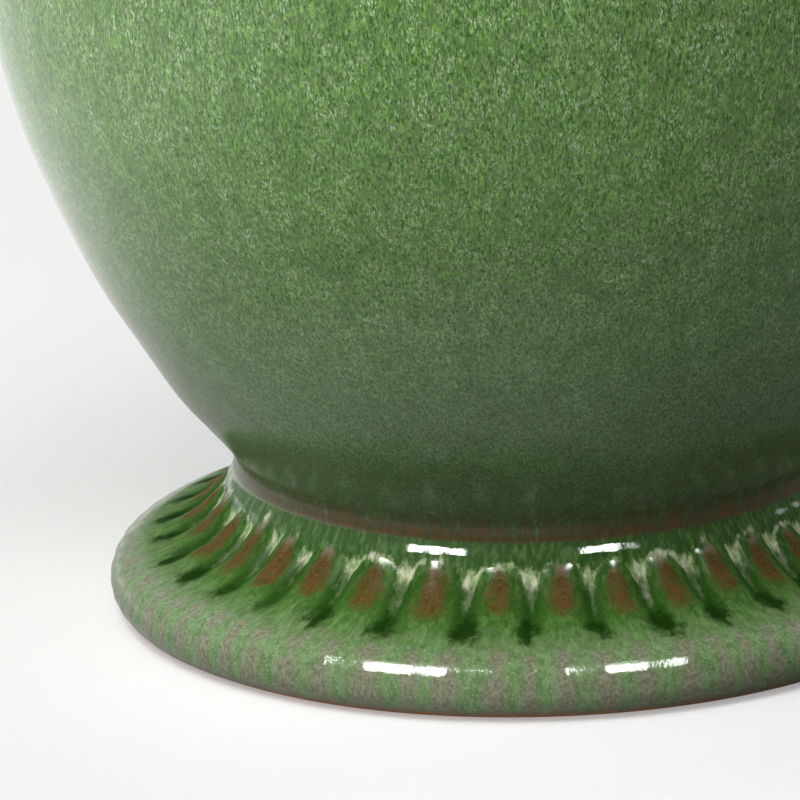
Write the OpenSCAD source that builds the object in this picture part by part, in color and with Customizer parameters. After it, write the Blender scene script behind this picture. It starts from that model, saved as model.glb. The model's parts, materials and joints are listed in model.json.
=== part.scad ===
// Small table lamp for the top of a television set: a glazed ceramic jar on a
// carved foot, with brass fittings, a keyed socket, a harp and a fabric shade.
// Millimetres, +Z up. The origin is the centre of the foot's resting ring.
// -Y is the front; the cord leaves at the back, towards +Y.

/* [Ceramic jar] */
// Height of the ceramic, from the foot ring to the lip
jar_h = 238; // [228:1:250]
// Radius of the belly
belly_r = 96; // [90:1:102]
// Radius of the waist above the foot
waist_r = 54.4; // [52:0.2:58]
// Largest radius of the foot
foot_r = 77.3; // [74:0.1:82]
// Thickness of the ceramic wall
wall = 6; // [5:0.5:7]
// Number of carved lobes round the foot
lobes = 36; // [24:1:40]
// Radius of the grooves carved between the lobes
groove_r = 2.5; // [2:0.1:2.8]

/* [Metal fittings] */
// Radius of the threaded rod
rod_r = 5; // [4.8:0.05:5.1]
// Radius of the rod's wire way
rod_bore_r = 3.3; // [3.1:0.1:3.6]
// Outer radius of the vase cap
cap_r = 30; // [28:0.5:31]
// Length of the brass neck above the vase cap
neck_h = 18; // [18:1:24]
// Outer radius of the socket shell
shell_r = 16.4; // [16:0.1:17]

/* [Harp and finial] */
// Height from the saddle to the seat of the harp
harp_h = 152; // [150:1:178]
// Half the widest span of the harp
harp_half = 52; // [48:1:58]
// Radius of the harp wire
harp_wire_r = 1.6; // [1.4:0.1:1.7]
// Height that the locking sleeves stand at rest
sleeve_h = 10; // [8:0.5:11]

/* [Shade] */
// Radius of the shade at its bottom
shade_r1 = 150; // [140:1:165]
// Radius of the shade at its top
shade_r2 = 116; // [100:1:130]
// Height of the shade
shade_h = 168; // [160:1:180]
// Thickness of the laminated shade
shade_t = 0.9; // [0.7:0.1:1.4]
// Number of spider arms
arms = 3; // [3:1:4]

/* [Cord] */
// Radius of one of the cord's two conductors, with its jacket
cord_r = 1.3; // [1.2:0.05:1.35]
// Straight run of cord across the back, between its two bends
cord_run = 46; // [36:1:52]

/* [Hidden] */
$fn = 64;
eps = 0.01;
gap = 0.06;                      // radial running clearance

// thicknesses and heights that set the levels
felt_t = 2;                      // depth of the felt's rebate
floor_t = 7;                     // floor of the jar
rubber_t = 2;
washer_t = 1.5;                  // plain washer and lock washer
bottom_nut_t = 6;
vase_cap_h = 9;
saddle_t = 1.6;                  // saddle strip
ear_h = 12;                      // saddle's ears, up to the shoulder

// levels, from the table up
hole_z = 5.5;                    // axis of the cord hole in the foot
rod_bottom = 12;                 // lower end of the threaded rod
floor_z = 24;                    // underside of the jar's floor
rubber_z = floor_z - rubber_t;   // undersides of the stack below the floor
washer_z = rubber_z - washer_t;
lock_z = washer_z - washer_t;
bottom_nut_z = lock_z - bottom_nut_t;
lip_z = jar_h;                   // top of the lip
cap_top = lip_z + vase_cap_h;    // flat top of the vase cap
neck_top = cap_top + neck_h;     // top of the brass neck
ear_z = neck_top + ear_h;        // shoulder that the sleeves stand on
socket_z = neck_top + saddle_t;  // underside of the socket cap
cord_top = socket_z + 9;         // upper end of the cord, inside the socket
body_z = socket_z + 17;          // underside of the switch body
term_z = socket_z + 20.4;        // axis of the terminal screws
stem_z = socket_z + 25;          // axis of the switch stem
screw_shell_z = socket_z + 31.6; // underside of the screw shell
bulb_z = socket_z + 36;          // tip of the bulb's contact when it is home
seat_z = neck_top + harp_h;      // axis of the wire at the harp's top
crown_top = seat_z + 3.2;        // seat of the shade's washer
finial_z = crown_top + 1.6;      // underside of the finial's washer
shade_top = crown_top + 11;      // top edge of the shade
shade_bot = shade_top - shade_h; // bottom edge of the shade

// places across the lamp
rebate_r = foot_r - 11.3;        // outer wall of the felt's rebate
saddle_x = 34;                   // outer face of the saddle's ears
harp_x = saddle_x + 0.3 + harp_wire_r;   // axis of the harp's lower legs
conductor_x = 1.2;               // each conductor's axis from the cord's axis

// colours shared by several pieces
brass = [0.72, 0.56, 0.27];
socket_brass = [0.74, 0.58, 0.29];
copper = [0.76, 0.55, 0.3];
steel = [0.62, 0.6, 0.55];
grey_steel = [0.5, 0.5, 0.5];
plated = [0.8, 0.78, 0.7];
rubber = [0.08, 0.08, 0.08];

// ---------- curves ----------

// Catmull-Rom blend between p1 and p2, t from 0 to 1
function catmull_rom(p0, p1, p2, p3, t) =
  0.5 * ((2 * p1) + (p2 - p0) * t + (2 * p0 - 5 * p1 + 4 * p2 - p3) * t * t
  + (3 * p1 - p0 - 3 * p2 + p3) * t * t * t);
// A smooth curve through pts, with so many steps a span
function smooth(pts, steps) = let (last = len(pts) - 1) concat(
  [for (i = [0 : last - 1]) for (j = [0 : steps - 1])
    catmull_rom(pts[max(i - 1, 0)], pts[i], pts[i + 1], pts[min(i + 2, last)], j / steps)],
  [pts[last]]);
function unit(v) = v / norm(v);
// The curve moved sideways by dist, to the left of its direction
function offset_pts(pts, dist) = [for (i = [0 : len(pts) - 1])
  let (along = unit(pts[min(i + 1, len(pts) - 1)] - pts[max(i - 1, 0)]))
  pts[i] + dist * [-along[1], along[0]]];
function reverse(list) = [for (i = [len(list) - 1 : -1 : 0]) list[i]];
function arc(centre, radius, start, end, steps) = [for (i = [0 : steps])
  let (angle = start + (end - start) * i / steps)
  centre + radius * [cos(angle), sin(angle)]];
// Points kept from crossing the axis of a turned piece
function clip(pts) = [for (p = pts) [max(p[0], 0), p[1]]];

// ---------- shared shapes ----------
module ring(outer_r, inner_r, height) difference() {
  cylinder(r = outer_r, h = height);
  translate([0, 0, -1]) cylinder(r = inner_r, h = height + 2);
}

// Hexagonal nut, flats across, with both ends chamfered
module hex_nut(flats, height, bore_r) {
  corner_r = flats / sqrt(3);
  chamfer = 0.9;
  difference() {
    intersection() {
      cylinder(r = corner_r, h = height, $fn = 6);
      union() {
        cylinder(r1 = flats / 2 + 0.1, r2 = corner_r + 0.2, h = chamfer);
        translate([0, 0, chamfer]) cylinder(r = corner_r + 0.2, h = height - 2 * chamfer);
        translate([0, 0, height - chamfer])
          cylinder(r1 = corner_r + 0.2, r2 = flats / 2 + 0.1, h = chamfer);
      }
    }
    translate([0, 0, -1]) cylinder(r = bore_r, h = height + 2);
  }
}

// A slotted screw along +X, the face of its head at x
module side_screw(x, shank_len, shank_r, head_r, head_t) rotate([0, 90, 0]) {
  translate([0, 0, x - head_t - shank_len]) cylinder(r = shank_r, h = shank_len + eps);
  difference() {
    translate([0, 0, x - head_t]) cylinder(r = head_r, h = head_t);
    translate([-head_r - 1, -0.4, x - 0.7]) cube([2 * head_r + 2, 0.8, 2]);
  }
}

// A planar path: each step is [length, 0] for a straight, or [radius, turn] for
// a bend, turn in degrees and positive to the left. The section is drawn with
// its own X across the path, in the plane, and Y out of the plane. $slim is
// what the section takes off its radius, so that a straight is let into the
// bends beside it.
let_in = 0.12;
// Sum of the turns before step i
function turned(steps, i) = i == 0 ? 0 : turned(steps, i - 1) + steps[i - 1][1];
// Point where step i starts
function step_start(steps, i, start_angle) = i == 0 ? [0, 0] : let (
  from = step_start(steps, i - 1, start_angle),
  angle = start_angle + turned(steps, i - 1),
  size = steps[i - 1][0],
  turn = steps[i - 1][1])
  turn == 0 ? from + size * [cos(angle), sin(angle)]
  : let (side = sign(turn), centre = from + side * size * [-sin(angle), cos(angle)])
    centre + side * size * [sin(angle + turn), -cos(angle + turn)];
module sweep_path(steps, start_angle) for (i = [0 : len(steps) - 1]) {
  start = step_start(steps, i, start_angle);
  size = steps[i][0];
  turn = steps[i][1];
  before = i > 0 ? let_in : 0;
  after = i < len(steps) - 1 ? let_in : 0;
  $slim = turn == 0 ? 0.02 : 0;
  translate([start[0], start[1], 0]) rotate([0, 0, start_angle + turned(steps, i)])
    if (turn == 0)
      translate([-before, 0, 0]) rotate([90, 0, 90])
        linear_extrude(height = size + before + after) children();
    else if (turn > 0)
      translate([0, size, 0]) rotate([0, 0, -90])
        rotate_extrude(angle = turn) translate([size, 0]) children();
    else
      translate([0, -size, 0]) rotate([0, 0, 90 + turn])
        rotate_extrude(angle = -turn) translate([size, 0]) children();
}
module round_section(radius) circle(r = radius - $slim);

// ---------- jar and foot ----------

// The jar's outline, as stations [radius, height]
belly_scale = jar_h / 238;
foot_stations = [[foot_r * 0.953, 0], [foot_r * 0.976, 1.1], [foot_r * 0.998, 4.0],
  [foot_r, 6.8], [foot_r * 0.987, 9.2], [foot_r * 0.935, 11.4],
  [foot_r * 0.845, 15.3], [foot_r * 0.775, 19.8],
  [waist_r * 1.031, 24.3], [waist_r, 27.2], [waist_r * 1.006, 29.4],
  [waist_r * 1.035, 32], [waist_r * 1.095, 36], [waist_r + 10.2, 42.3]];
belly_stations = [[belly_r - 25.2, 51.3 * belly_scale], [belly_r - 18.2, 63 * belly_scale],
  [belly_r - 11.6, 77.4 * belly_scale], [belly_r - 5.6, 93.6 * belly_scale],
  [belly_r - 1.6, 111.6 * belly_scale], [belly_r, 133 * belly_scale],
  [belly_r - 2.2, 153 * belly_scale], [belly_r - 8.4, 171 * belly_scale],
  [belly_r - 18.6, 187 * belly_scale], [belly_r - 32, 200 * belly_scale],
  [belly_r - 47, 210 * belly_scale], [36.5, jar_h - 21]];
lip_stations = [[31, jar_h - 15.5], [29.4, jar_h - 10.5], [30.6, jar_h - 6],
  [32.4, jar_h - 3.2], [32.2, jar_h - 1.2], [30.4, jar_h]];
jar_outline = smooth(concat(foot_stations, belly_stations, lip_stations), 5);
// the hollow: the outline between floor and neck, moved in by the wall
hollow_side = [for (p = offset_pts(jar_outline, wall))
  if (p[1] > floor_z + floor_t + 1.5 && p[1] < jar_h - 17 && p[0] > 27) p];

// The outline, then down the mouth and hollow, and back under the floor
module jar_section() {
  mouth_r = 24.6;
  rod_hole_r = rod_r + 1.5;
  rebate_inner_r = foot_r - 15.3;
  polygon(concat(
    jar_outline,
    [[25, jar_h], [mouth_r, jar_h - 0.6], [mouth_r, jar_h - 14]],
    reverse(hollow_side),
    [[44, floor_z + floor_t], [rod_hole_r, floor_z + floor_t],
     [rod_hole_r, floor_z], [45.5, floor_z], [48.5, floor_z - 2.5],
     [foot_r - 19, 12], [rebate_inner_r, 5], [rebate_inner_r, felt_t],
     [rebate_r, felt_t], [rebate_r, 0]]));
}

// Tapered bar between two [radius, height] points in the XZ plane
module bar(from, to, from_r, to_r) translate([from[0], 0, from[1]])
  rotate([0, -atan2(from[0] - to[0], to[1] - from[1]), 0])
    cylinder(r1 = from_r, r2 = to_r, h = norm(to - from));

// One groove between two lobes: deepest at its lower end on the shoulder of the
// foot, fading out below the waist
module groove() {
  low = [foot_r * 0.931, 12.4];
  mid = [foot_r * 0.819, 18.2];
  high = [waist_r * 1.064, 23.5];
  translate([low[0], 0, low[1]]) sphere(r = groove_r);
  bar(low, mid + 0.1 * unit(mid - low), groove_r - 0.1, groove_r - 0.2);
  bar(mid, high, groove_r - 0.4, groove_r - 1.4);
}

bushing_r = 3.45;

module ceramic_body() color([0.27, 0.45, 0.22]) difference() {
  rotate_extrude() jar_section();
  for (i = [0 : lobes - 1]) rotate([0, 0, 360 * (i + 0.5) / lobes]) groove();
  // cord hole at the back
  translate([0, foot_r - 24, hole_z]) rotate([-90, 0, 0]) cylinder(r = bushing_r + 0.1, h = 40);
}

module felt_disc() color([0.16, 0.22, 0.14])
  cylinder(r = rebate_r - 0.2, h = felt_t - 0.05);

// Tube through the cord hole, with a flange and a tapered end outside
module cord_bushing() {
  flange_r = 4.7;
  flange_t = 1.2;
  flange_y = foot_r + 0.05;
  color(rubber) translate([0, 0, hole_z]) rotate([-90, 0, 0]) difference() {
    union() {
      translate([0, 0, foot_r - 16.2]) cylinder(r = bushing_r, h = 16.6);
      translate([0, 0, flange_y]) cylinder(r = flange_r, h = flange_t);
      translate([0, 0, flange_y + flange_t]) cylinder(r1 = flange_r, r2 = 3.6, h = 0.9);
    }
    translate([0, 0, foot_r - 17]) cylinder(r = 2.75, h = 22);
  }
}

// ---------- rod and fittings ----------
module threaded_rod() color(steel) difference() {
  translate([0, 0, rod_bottom]) cylinder(r = rod_r, h = socket_z + 6 - rod_bottom);
  translate([0, 0, rod_bottom - 1]) cylinder(r = rod_bore_r, h = socket_z);
}

module bottom_nut() color(steel)
  translate([0, 0, bottom_nut_z]) hex_nut(17, bottom_nut_t, rod_r + gap);

// Split washer
module lock_washer() color(grey_steel) translate([0, 0, lock_z]) difference() {
  ring(8.4, rod_r + 0.25, washer_t);
  rotate([0, 0, 20]) translate([0, -0.6, -1]) cube([12, 1.2, 4]);
}

module bottom_washer() color(steel)
  translate([0, 0, washer_z]) ring(20, rod_r + 0.25, washer_t);

module rubber_washer() color(rubber)
  translate([0, 0, rubber_z]) ring(22, rod_r + 0.2, rubber_t);

// Dome of the vase cap, inwards and up from [radius, height]
function cap_dome(radius, height) = [for (i = [0 : 8]) let (t = i / 8)
  [radius - 9 * t, height + 4.9 * sin(90 * t)]];

// Spun brass cap that closes the neck of the jar
module vase_cap() color(brass) translate([0, 0, lip_z]) rotate_extrude()
  polygon(concat(
    [[cap_r - 2.5, 0], [cap_r, 0]],
    arc([cap_r - 0.9, 0.95], 0.9, -60, 90, 6),
    [[cap_r - 3.5, 2.2]],
    cap_dome(cap_r - 5, 2.6),
    [[cap_r - 14.4, 8.2], [cap_r - 15, vase_cap_h], [rod_r + 0.15, vase_cap_h],
     [rod_r + 0.15, 7.6], [cap_r - 15.6, 7.6]],
    reverse(cap_dome(cap_r - 6, 1.2)),
    [[cap_r - 4.5, 1]]));

module top_locknut() color(steel)
  translate([0, 0, cap_top]) hex_nut(15, 3.5, rod_r + gap);

// Turned brass neck that covers the nut and carries the saddle
module brass_neck() {
  stem_r = 10.3;
  hollow_r = 9.1;
  color(brass) translate([0, 0, cap_top]) rotate_extrude()
    polygon(concat(
      [[hollow_r, 0], [13.2, 0]],
      arc([13.2, 1.1], 1.1, -90, 90, 8),
      [[11.6, 2.4], [10.9, 3.4], [10.5, 4.6], [stem_r, neck_h / 2 - 1.4]],
      arc([stem_r, neck_h / 2], 1.2, -80, 80, 8),
      [[stem_r, neck_h / 2 + 1.4], [10.5, neck_h - 4.6], [10.9, neck_h - 3.2],
       [12.2, neck_h - 2.2]],
      arc([12.4, neck_h - 1.1], 1.1, -80, 90, 8),
      [[rod_r + 0.1, neck_h], [rod_r + 0.1, neck_h - 2], [hollow_r, neck_h - 2]]));
}

// U-shaped strip under the socket, with a narrow tongue at each end for the harp
module harp_saddle() {
  width = 12;
  tongue_w = 4.4;
  bend_r = 4;
  flat_x = saddle_x - bend_r;
  color(brass) difference() {
    union() {
      translate([0, width / 2, neck_top]) rotate([90, 0, 0]) linear_extrude(height = width)
        polygon(concat(
          [[-flat_x, 0], [flat_x, 0]],
          arc([flat_x, bend_r], bend_r, -90, 0, 6),
          [[saddle_x, ear_h], [saddle_x - saddle_t, ear_h]],
          reverse(arc([flat_x, bend_r], bend_r - saddle_t, -90, 0, 6)),
          reverse(arc([-flat_x, bend_r], bend_r - saddle_t, 180, 270, 6)),
          [[-saddle_x + saddle_t, ear_h], [-saddle_x, ear_h]],
          arc([-flat_x, bend_r], bend_r, 180, 270, 6)));
      for (side = [0, 1]) mirror([side, 0, 0])
        translate([saddle_x - saddle_t, -tongue_w / 2, ear_z - eps])
          cube([saddle_t, tongue_w, 8.4]);
    }
    translate([0, 0, neck_top - 1]) cylinder(r = rod_r + 0.1, h = 4);
    // round holes on each side of the centre hole
    for (side = [-1, 1]) translate([side * 19, 0, neck_top - 1]) cylinder(r = 2.2, h = 4);
  }
}

// ---------- socket ----------
setscrew_z = socket_z + 3;

// Quarter ellipse out from start_r at the bottom to end_r at top_z
function quarter_ellipse(start_r, end_r, top_z, rise) = [for (i = [0 : 8])
  let (angle = 90 * i / 8)
  [start_r + (end_r - start_r) * sin(angle), top_z - rise * cos(angle)]];

module socket_cap() {
  skirt_r = shell_r + 0.9;
  bead_r = shell_r + 1.35;
  inner_r = shell_r + 0.05;
  color(socket_brass) difference() {
    translate([0, 0, socket_z]) rotate_extrude() polygon(concat(
      [[0, 0], [7.4, 0], [8.2, 0.8], [8.2, 5.4], [9.4, 6.2]],
      quarter_ellipse(9.4, skirt_r, 14.6, 8),
      [[skirt_r, 18], [bead_r, 18.5], [bead_r, 19.3],
       [skirt_r, 19.8], [inner_r, 19.8], [inner_r, 15]],
      reverse(quarter_ellipse(8.6, inner_r, 14.9, 7.4)),
      [[0, 7.5]]));
    translate([0, 0, socket_z - 1]) cylinder(r = rod_r + gap, h = 10);
    // hole for the set screw, on the left
    translate([-12, 0, setscrew_z]) rotate([0, 90, 0]) cylinder(r = 1.45, h = 8);
  }
}

module cap_setscrew() color(grey_steel) translate([0, 0, setscrew_z])
  mirror([1, 0, 0]) difference() {
    translate([rod_r + 0.1, 0, 0]) rotate([0, 90, 0]) cylinder(r = 1.4, h = 4.4);
    translate([rod_r + 3.8, -2, -0.3]) cube([2, 4, 0.6]);
  }

// Cutter for a round-topped notch at the front, round the switch stem
module front_notch(half_w) {
  translate([0, 0, stem_z]) rotate([90, 0, 0]) cylinder(r = half_w, h = 30);
  translate([-half_w, -30, socket_z + 10]) cube([2 * half_w, 30, stem_z - socket_z - 10]);
}

// Brass shell, with a beaded rim
module socket_shell() color(socket_brass) difference() {
  translate([0, 0, socket_z]) rotate_extrude() polygon(concat(
    [[shell_r - 0.6, 15.4], [shell_r, 15.4], [shell_r, 50]],
    [[shell_r - 0.15, 51], [shell_r - 0.15, 54.4]],
    arc([shell_r - 0.1, 55.6], 1.1, -80, 100, 10),
    [[shell_r - 0.75, 55.6], [shell_r - 0.75, 51], [shell_r - 0.6, 50]]));
  front_notch(4.4);
}

// Fibre sleeve that keeps the screw shell off the brass
module shell_liner() color([0.55, 0.42, 0.28]) difference() {
  translate([0, 0, socket_z + 15.6]) ring(shell_r - 0.85, shell_r - 1.5, 37);
  front_notch(4.8);
}

stem_r = 2;
term_x = 12.4;                       // plane of the leads' hooks
term_r = 1.5;                        // shank of the terminal screws

// Moulded switch body
module socket_interior() color([0.12, 0.07, 0.05]) translate([0, 0, body_z]) difference() {
  union() {
    cylinder(r = 14.4, h = 12);
    translate([0, 0, 12 - eps]) cylinder(r = 12.2, h = 2.5);
  }
  // chamber of the rotary contact
  translate([-5, -9.5, 3]) cube([10, 12, 12]);
  // bearing for the stem
  translate([0, 0, stem_z - body_z]) rotate([90, 0, 0]) cylinder(r = stem_r + gap, h = 20);
  // flats and pockets for the terminals
  for (side = [0, 1]) mirror([side, 0, 0]) {
    translate([11.4, -4.5, -1]) cube([6, 9, 8.5]);
    translate([6, 0, term_z - body_z]) rotate([0, 90, 0]) cylinder(r = term_r + 0.1, h = 8);
  }
  // two upright holes towards the back
  for (side = [-1, 1]) translate([side * 4, 8, -1]) cylinder(r = 1.2, h = 20);
}

// Wavy wall of the screw shell, as rings, upwards round a mean radius
function shell_wave(mean_r) = [for (i = [0 : 40]) [mean_r + 0.22 * sin(i * 72), 0.6 + i * 0.49]];

module screw_shell() color(plated) translate([0, 0, screw_shell_z]) rotate_extrude()
  polygon(concat(
    shell_wave(13.55),
    reverse(shell_wave(13.98)),
    [[14.0, 0], [9, 0], [9, 0.6]]));

// Flat tab at the back, with a tongue that rises forward over the centre
module center_contact() color(copper) translate([0, 0, screw_shell_z]) {
  width = 5;
  root = [-width / 2, 3, 0.02];
  translate(root) cube([width, 5.6, 0.5]);
  translate(root) rotate([90, 0, 90]) linear_extrude(height = width)
    polygon([[0, 0], [0.6, 0], [-1.2, 4.3], [-4.8, 4.3], [-4.8, 3.8], [-1.5, 3.8]]);
}

// Brass on the right, white metal on the left
module terminal_screws() for (side = [0, 1]) mirror([side, 0, 0])
  color(side == 0 ? socket_brass : [0.7, 0.7, 0.7])
  translate([0, 0, term_z])
    side_screw(term_x + 2.1, shank_len = 4.6, shank_r = term_r, head_r = 2.9, head_t = 1.1);

// From the end of the cord: up, out under the switch body, up beside the
// terminal and most of a turn round its screw
module lead_wires() {
  lead_r = 0.95;
  hook_r = term_r + lead_r + 0.03;
  start_z = cord_top + 0.05;
  start_up = 0.5;
  bend_r = 3;
  turn = 85;
  reach = norm([term_x, hook_r]);
  run = (reach - conductor_x - 2 * bend_r * (1 - cos(turn))) / cos(90 - turn);
  up = term_z - start_z - start_up - 2 * bend_r * sin(turn) - run * sin(90 - turn);
  for (side = [0, 1]) mirror([side, 0, 0])
    color(side == 0 ? [0.1, 0.1, 0.1] : [0.85, 0.85, 0.8]) {
      rotate([0, 0, atan2(hook_r, term_x)]) translate([conductor_x, 0, start_z])
        rotate([90, 0, 0])
          sweep_path([[start_up, 0], [bend_r, -turn], [run, 0], [bend_r, turn],
            [up + let_in, 0]], 90) round_section(lead_r);
      translate([term_x, 0, term_z]) rotate([90, 0, 90])
        rotate_extrude(angle = 230) translate([hook_r, 0]) circle(r = lead_r);
    }
}

// The switch parts are drawn along +Z, which is turned to point forward
stem_start = 3;

module switch_stem() color(brass) translate([0, 0, stem_z]) rotate([90, 0, 0])
  translate([0, 0, stem_start]) cylinder(r = stem_r, h = 23);

// Round hub and flat thumb piece
module switch_key() color([0.1, 0.08, 0.07]) translate([0, -22.5, stem_z]) rotate([90, 0, 0])
  difference() {
    union() {
      cylinder(r = 3.6, h = 3);
      translate([0, 0, 2]) intersection() {
        translate([-7, -1.9, 0]) cube([14, 3.8, 11]);
        translate([0, 6, 3.6]) rotate([90, 0, 0]) cylinder(r = 7.4, h = 12);
      }
    }
    translate([0, 0, -1]) cylinder(r = stem_r + eps, h = 4.55);
  }

module switch_cam() color(copper) translate([0, 0, stem_z]) rotate([90, 0, 0])
  rotate_extrude() polygon([[0, -1.4], [3.4, -1.4], [3.4, 0.2], [2.9, 0.5], [2.9, 4],
    [3.3, 4.2], [3.3, 6], [stem_r + eps, 6], [stem_r + eps, stem_start - eps],
    [0, stem_start - eps]]);

// ---------- bulb ----------
module bulb_contact() color([0.75, 0.75, 0.73]) translate([0, 0, bulb_z])
  rotate_extrude() polygon([[0, 0], [2.6, 0.25], [4.1, 0.9], [4.6, 1.7], [0, 1.7]]);

module bulb_insulator() color([0.05, 0.05, 0.08]) translate([0, 0, bulb_z + 1.72])
  cylinder(r1 = 5, r2 = 9.4, h = 3.17);

// Screw cap, drawn as rings where the real one has a rolled thread
module bulb_cap() color(plated) translate([0, 0, bulb_z + 4.9]) rotate_extrude()
  polygon(concat(
    [[0, 0], [9.4, 0], [11.8, 1.4], [12.3, 2.2]],
    [for (i = [0 : 32]) [12.65 + 0.32 * sin(i * 49.55 - 90), 3 + i * 0.5]],
    [[12.5, 19.4], [12.9, 20.2], [12.9, 22.4], [12.4, 22.4], [12.4, 19.6], [11.8, 19],
     [11.8, 2.2], [9, 0.6], [0, 0.6]]));

// Outside of the glass, as stations [radius, height]
bulb_stations = [[11.35, 14], [11.4, 19.5], [11.6, 24], [13, 29], [16, 35.5], [19.8, 42.5],
  [22.6, 50], [23.9, 58], [23.7, 65], [21.9, 72.4], [18.4, 78.8], [12.8, 84],
  [6.6, 86.6], [0, 87.4]];
module bulb_glass() color([0.96, 0.95, 0.9, 0.85]) translate([0, 0, bulb_z + 1.6]) {
  outside = smooth(bulb_stations, 4);
  inside = clip(offset_pts(outside, 0.7));
  // the inside's last two points give way to one on the axis
  rotate_extrude() polygon(concat(clip(outside), [[0, 86.6]],
    [for (i = [len(inside) - 3 : -1 : 0]) inside[i]]));
}

mount_z = bulb_z + 16;
// two leaning wires that carry the filament
support_x = 2.4;
support_z = 19;                      // their feet, above mount_z
support_len = 21;
support_tilt = 24;

// Pressed glass mount with its supports, as one sealed piece
module bulb_mount() color([0.85, 0.9, 0.9]) translate([0, 0, mount_z]) {
  post_r = 3.4;
  tip_r = 1.1;
  cylinder(r1 = 10.6, r2 = post_r, h = 8);
  translate([0, 0, 8 - eps]) cylinder(r = post_r, h = 12);
  translate([0, 0, 20 - 2 * eps]) cylinder(r1 = post_r, r2 = tip_r, h = 3);
  translate([0, 0, 23 - 3 * eps]) cylinder(r = tip_r, h = 14);
  for (side = [-1, 1]) translate([side * support_x, 0, support_z])
    rotate([0, side * support_tilt, 0]) cylinder(r = 0.4, h = support_len);
}

module bulb_filament() color([0.45, 0.45, 0.45]) {
  wire_r = 0.5;
  wire_z = mount_z + support_z + support_len * cos(support_tilt) + 0.64;
  end_x = support_x + support_len * sin(support_tilt);
  for (side = [0, 1]) mirror([side, 0, 0])
    translate([0.6, 0, wire_z]) rotate([0, 90, 0]) cylinder(r = wire_r, h = end_x - 0.6);
  // the middle, lapping both halves
  translate([-0.7, 0, wire_z]) rotate([0, 90, 0]) cylinder(r = wire_r, h = 1.4);
}

// ---------- harp ----------
// From the right sleeve straight up, out round the bulb, over the top and down
module harp_wire() color(brass) {
  leg = 25;
  flare = 34;                        // angle of the outward slant
  low_r = 20;
  high_r = 24;
  top_half = 8;                      // half the straight across the top
  top_r = harp_half - top_half;
  slant = (harp_half - harp_x - (low_r + high_r) * (1 - cos(flare))) / sin(flare);
  foot_z = ear_z + 0.4;
  side_z = foot_z + leg + (low_r + high_r) * sin(flare) + slant * cos(flare);
  side = seat_z - top_r - side_z;
  half_path = [[leg, 0], [low_r, -flare], [slant, 0], [high_r, flare], [side, 0], [top_r, 90]];
  translate([harp_x, 0, foot_z]) rotate([90, 0, 0])
    sweep_path(concat(half_path, [[2 * top_half, 0]], reverse(half_path)), 90)
      round_section(harp_wire_r);
}

// Pressed collar on top of the wire, which holds the stud
module harp_crown() color(brass) difference() {
  translate([0, 0, seat_z - 3.4]) rotate_extrude() polygon([[0, 0], [5.2, 0], [6.2, 1],
    [6.2, 5], [7.4, 5.4], [7.4, 6.6], [0, 6.6]]);
  translate([0, 0, seat_z]) rotate([0, 90, 0])
    cylinder(r = harp_wire_r + 0.02, h = 30, center = true);
}

stud_r = 3.1;
module finial_stud() color(steel) translate([0, 0, crown_top]) union() {
  cylinder(r = stud_r, h = 12);
  translate([0, 0, 12 - eps]) cylinder(r1 = stud_r, r2 = 2.5, h = 0.8);
}

// Rounded box round the saddle's tongue and the harp's leg
tongue_x = saddle_x - saddle_t;
leg_x = harp_x + harp_wire_r;        // outer side of the leg
module sleeve_outline(inset) translate([(tongue_x + leg_x) / 2, 0]) {
  corner_r = 1.8 - inset * 0.6;
  x = (leg_x - tongue_x) / 2 + 1.05 - inset - corner_r;
  y = 3.7 - inset - corner_r;
  polygon(concat(arc([x, y], corner_r, 0, 90, 4), arc([-x, y], corner_r, 90, 180, 4),
    arc([-x, -y], corner_r, 180, 270, 4), arc([x, -y], corner_r, 270, 360, 4)));
}
module sleeve() color(brass) translate([0, 0, ear_z + 0.05]) difference() {
  linear_extrude(height = sleeve_h) sleeve_outline(0);
  translate([0, 0, -1]) linear_extrude(height = sleeve_h + 2) sleeve_outline(0.8);
}
module harp_sleeve_right() sleeve();
module harp_sleeve_left() mirror([1, 0, 0]) sleeve();

// ---------- shade ----------
ring_wire_r = 1.5;
ring_inset = 2.6;                    // ring's axis from the shade's edge
function shade_r(z) = shade_r1 + (shade_r2 - shade_r1) * (z - shade_bot) / shade_h;
// Radius of the axis of a wire ring inside the cover at height z
function ring_r(z) = shade_r(z) - shade_t - 1.6;
module wire_ring(z) translate([0, 0, z]) rotate_extrude()
  translate([ring_r(z), 0]) circle(r = ring_wire_r);

module shade_spider() color(brass) {
  ring_z = shade_top - ring_inset;
  translate([0, 0, crown_top + 0.05]) ring(9, 3.3, 1.5);
  for (i = [0 : arms - 1]) rotate([0, 0, 90 + 360 * i / arms]) {
    hub = [8.2, 0, crown_top + 0.8];
    arm = [ring_r(ring_z), 0, ring_z] - hub;
    translate(hub) rotate([0, acos(arm[2] / norm(arm)), 0]) cylinder(r = 1.2, h = norm(arm));
  }
  wire_ring(ring_z);
}

module shade_bottom_ring() color(brass) wire_ring(shade_bot + ring_inset);

// A point at height z, standing out from the cover's outer face
function on_shade(z, out) = [shade_r(z) + out, z];
module shade_cover() color([0.9, 0.86, 0.75]) rotate_extrude($fn = 128) polygon([
  on_shade(shade_bot, 0), on_shade(shade_top, 0),
  on_shade(shade_top, -shade_t), on_shade(shade_bot, -shade_t)]);

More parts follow.
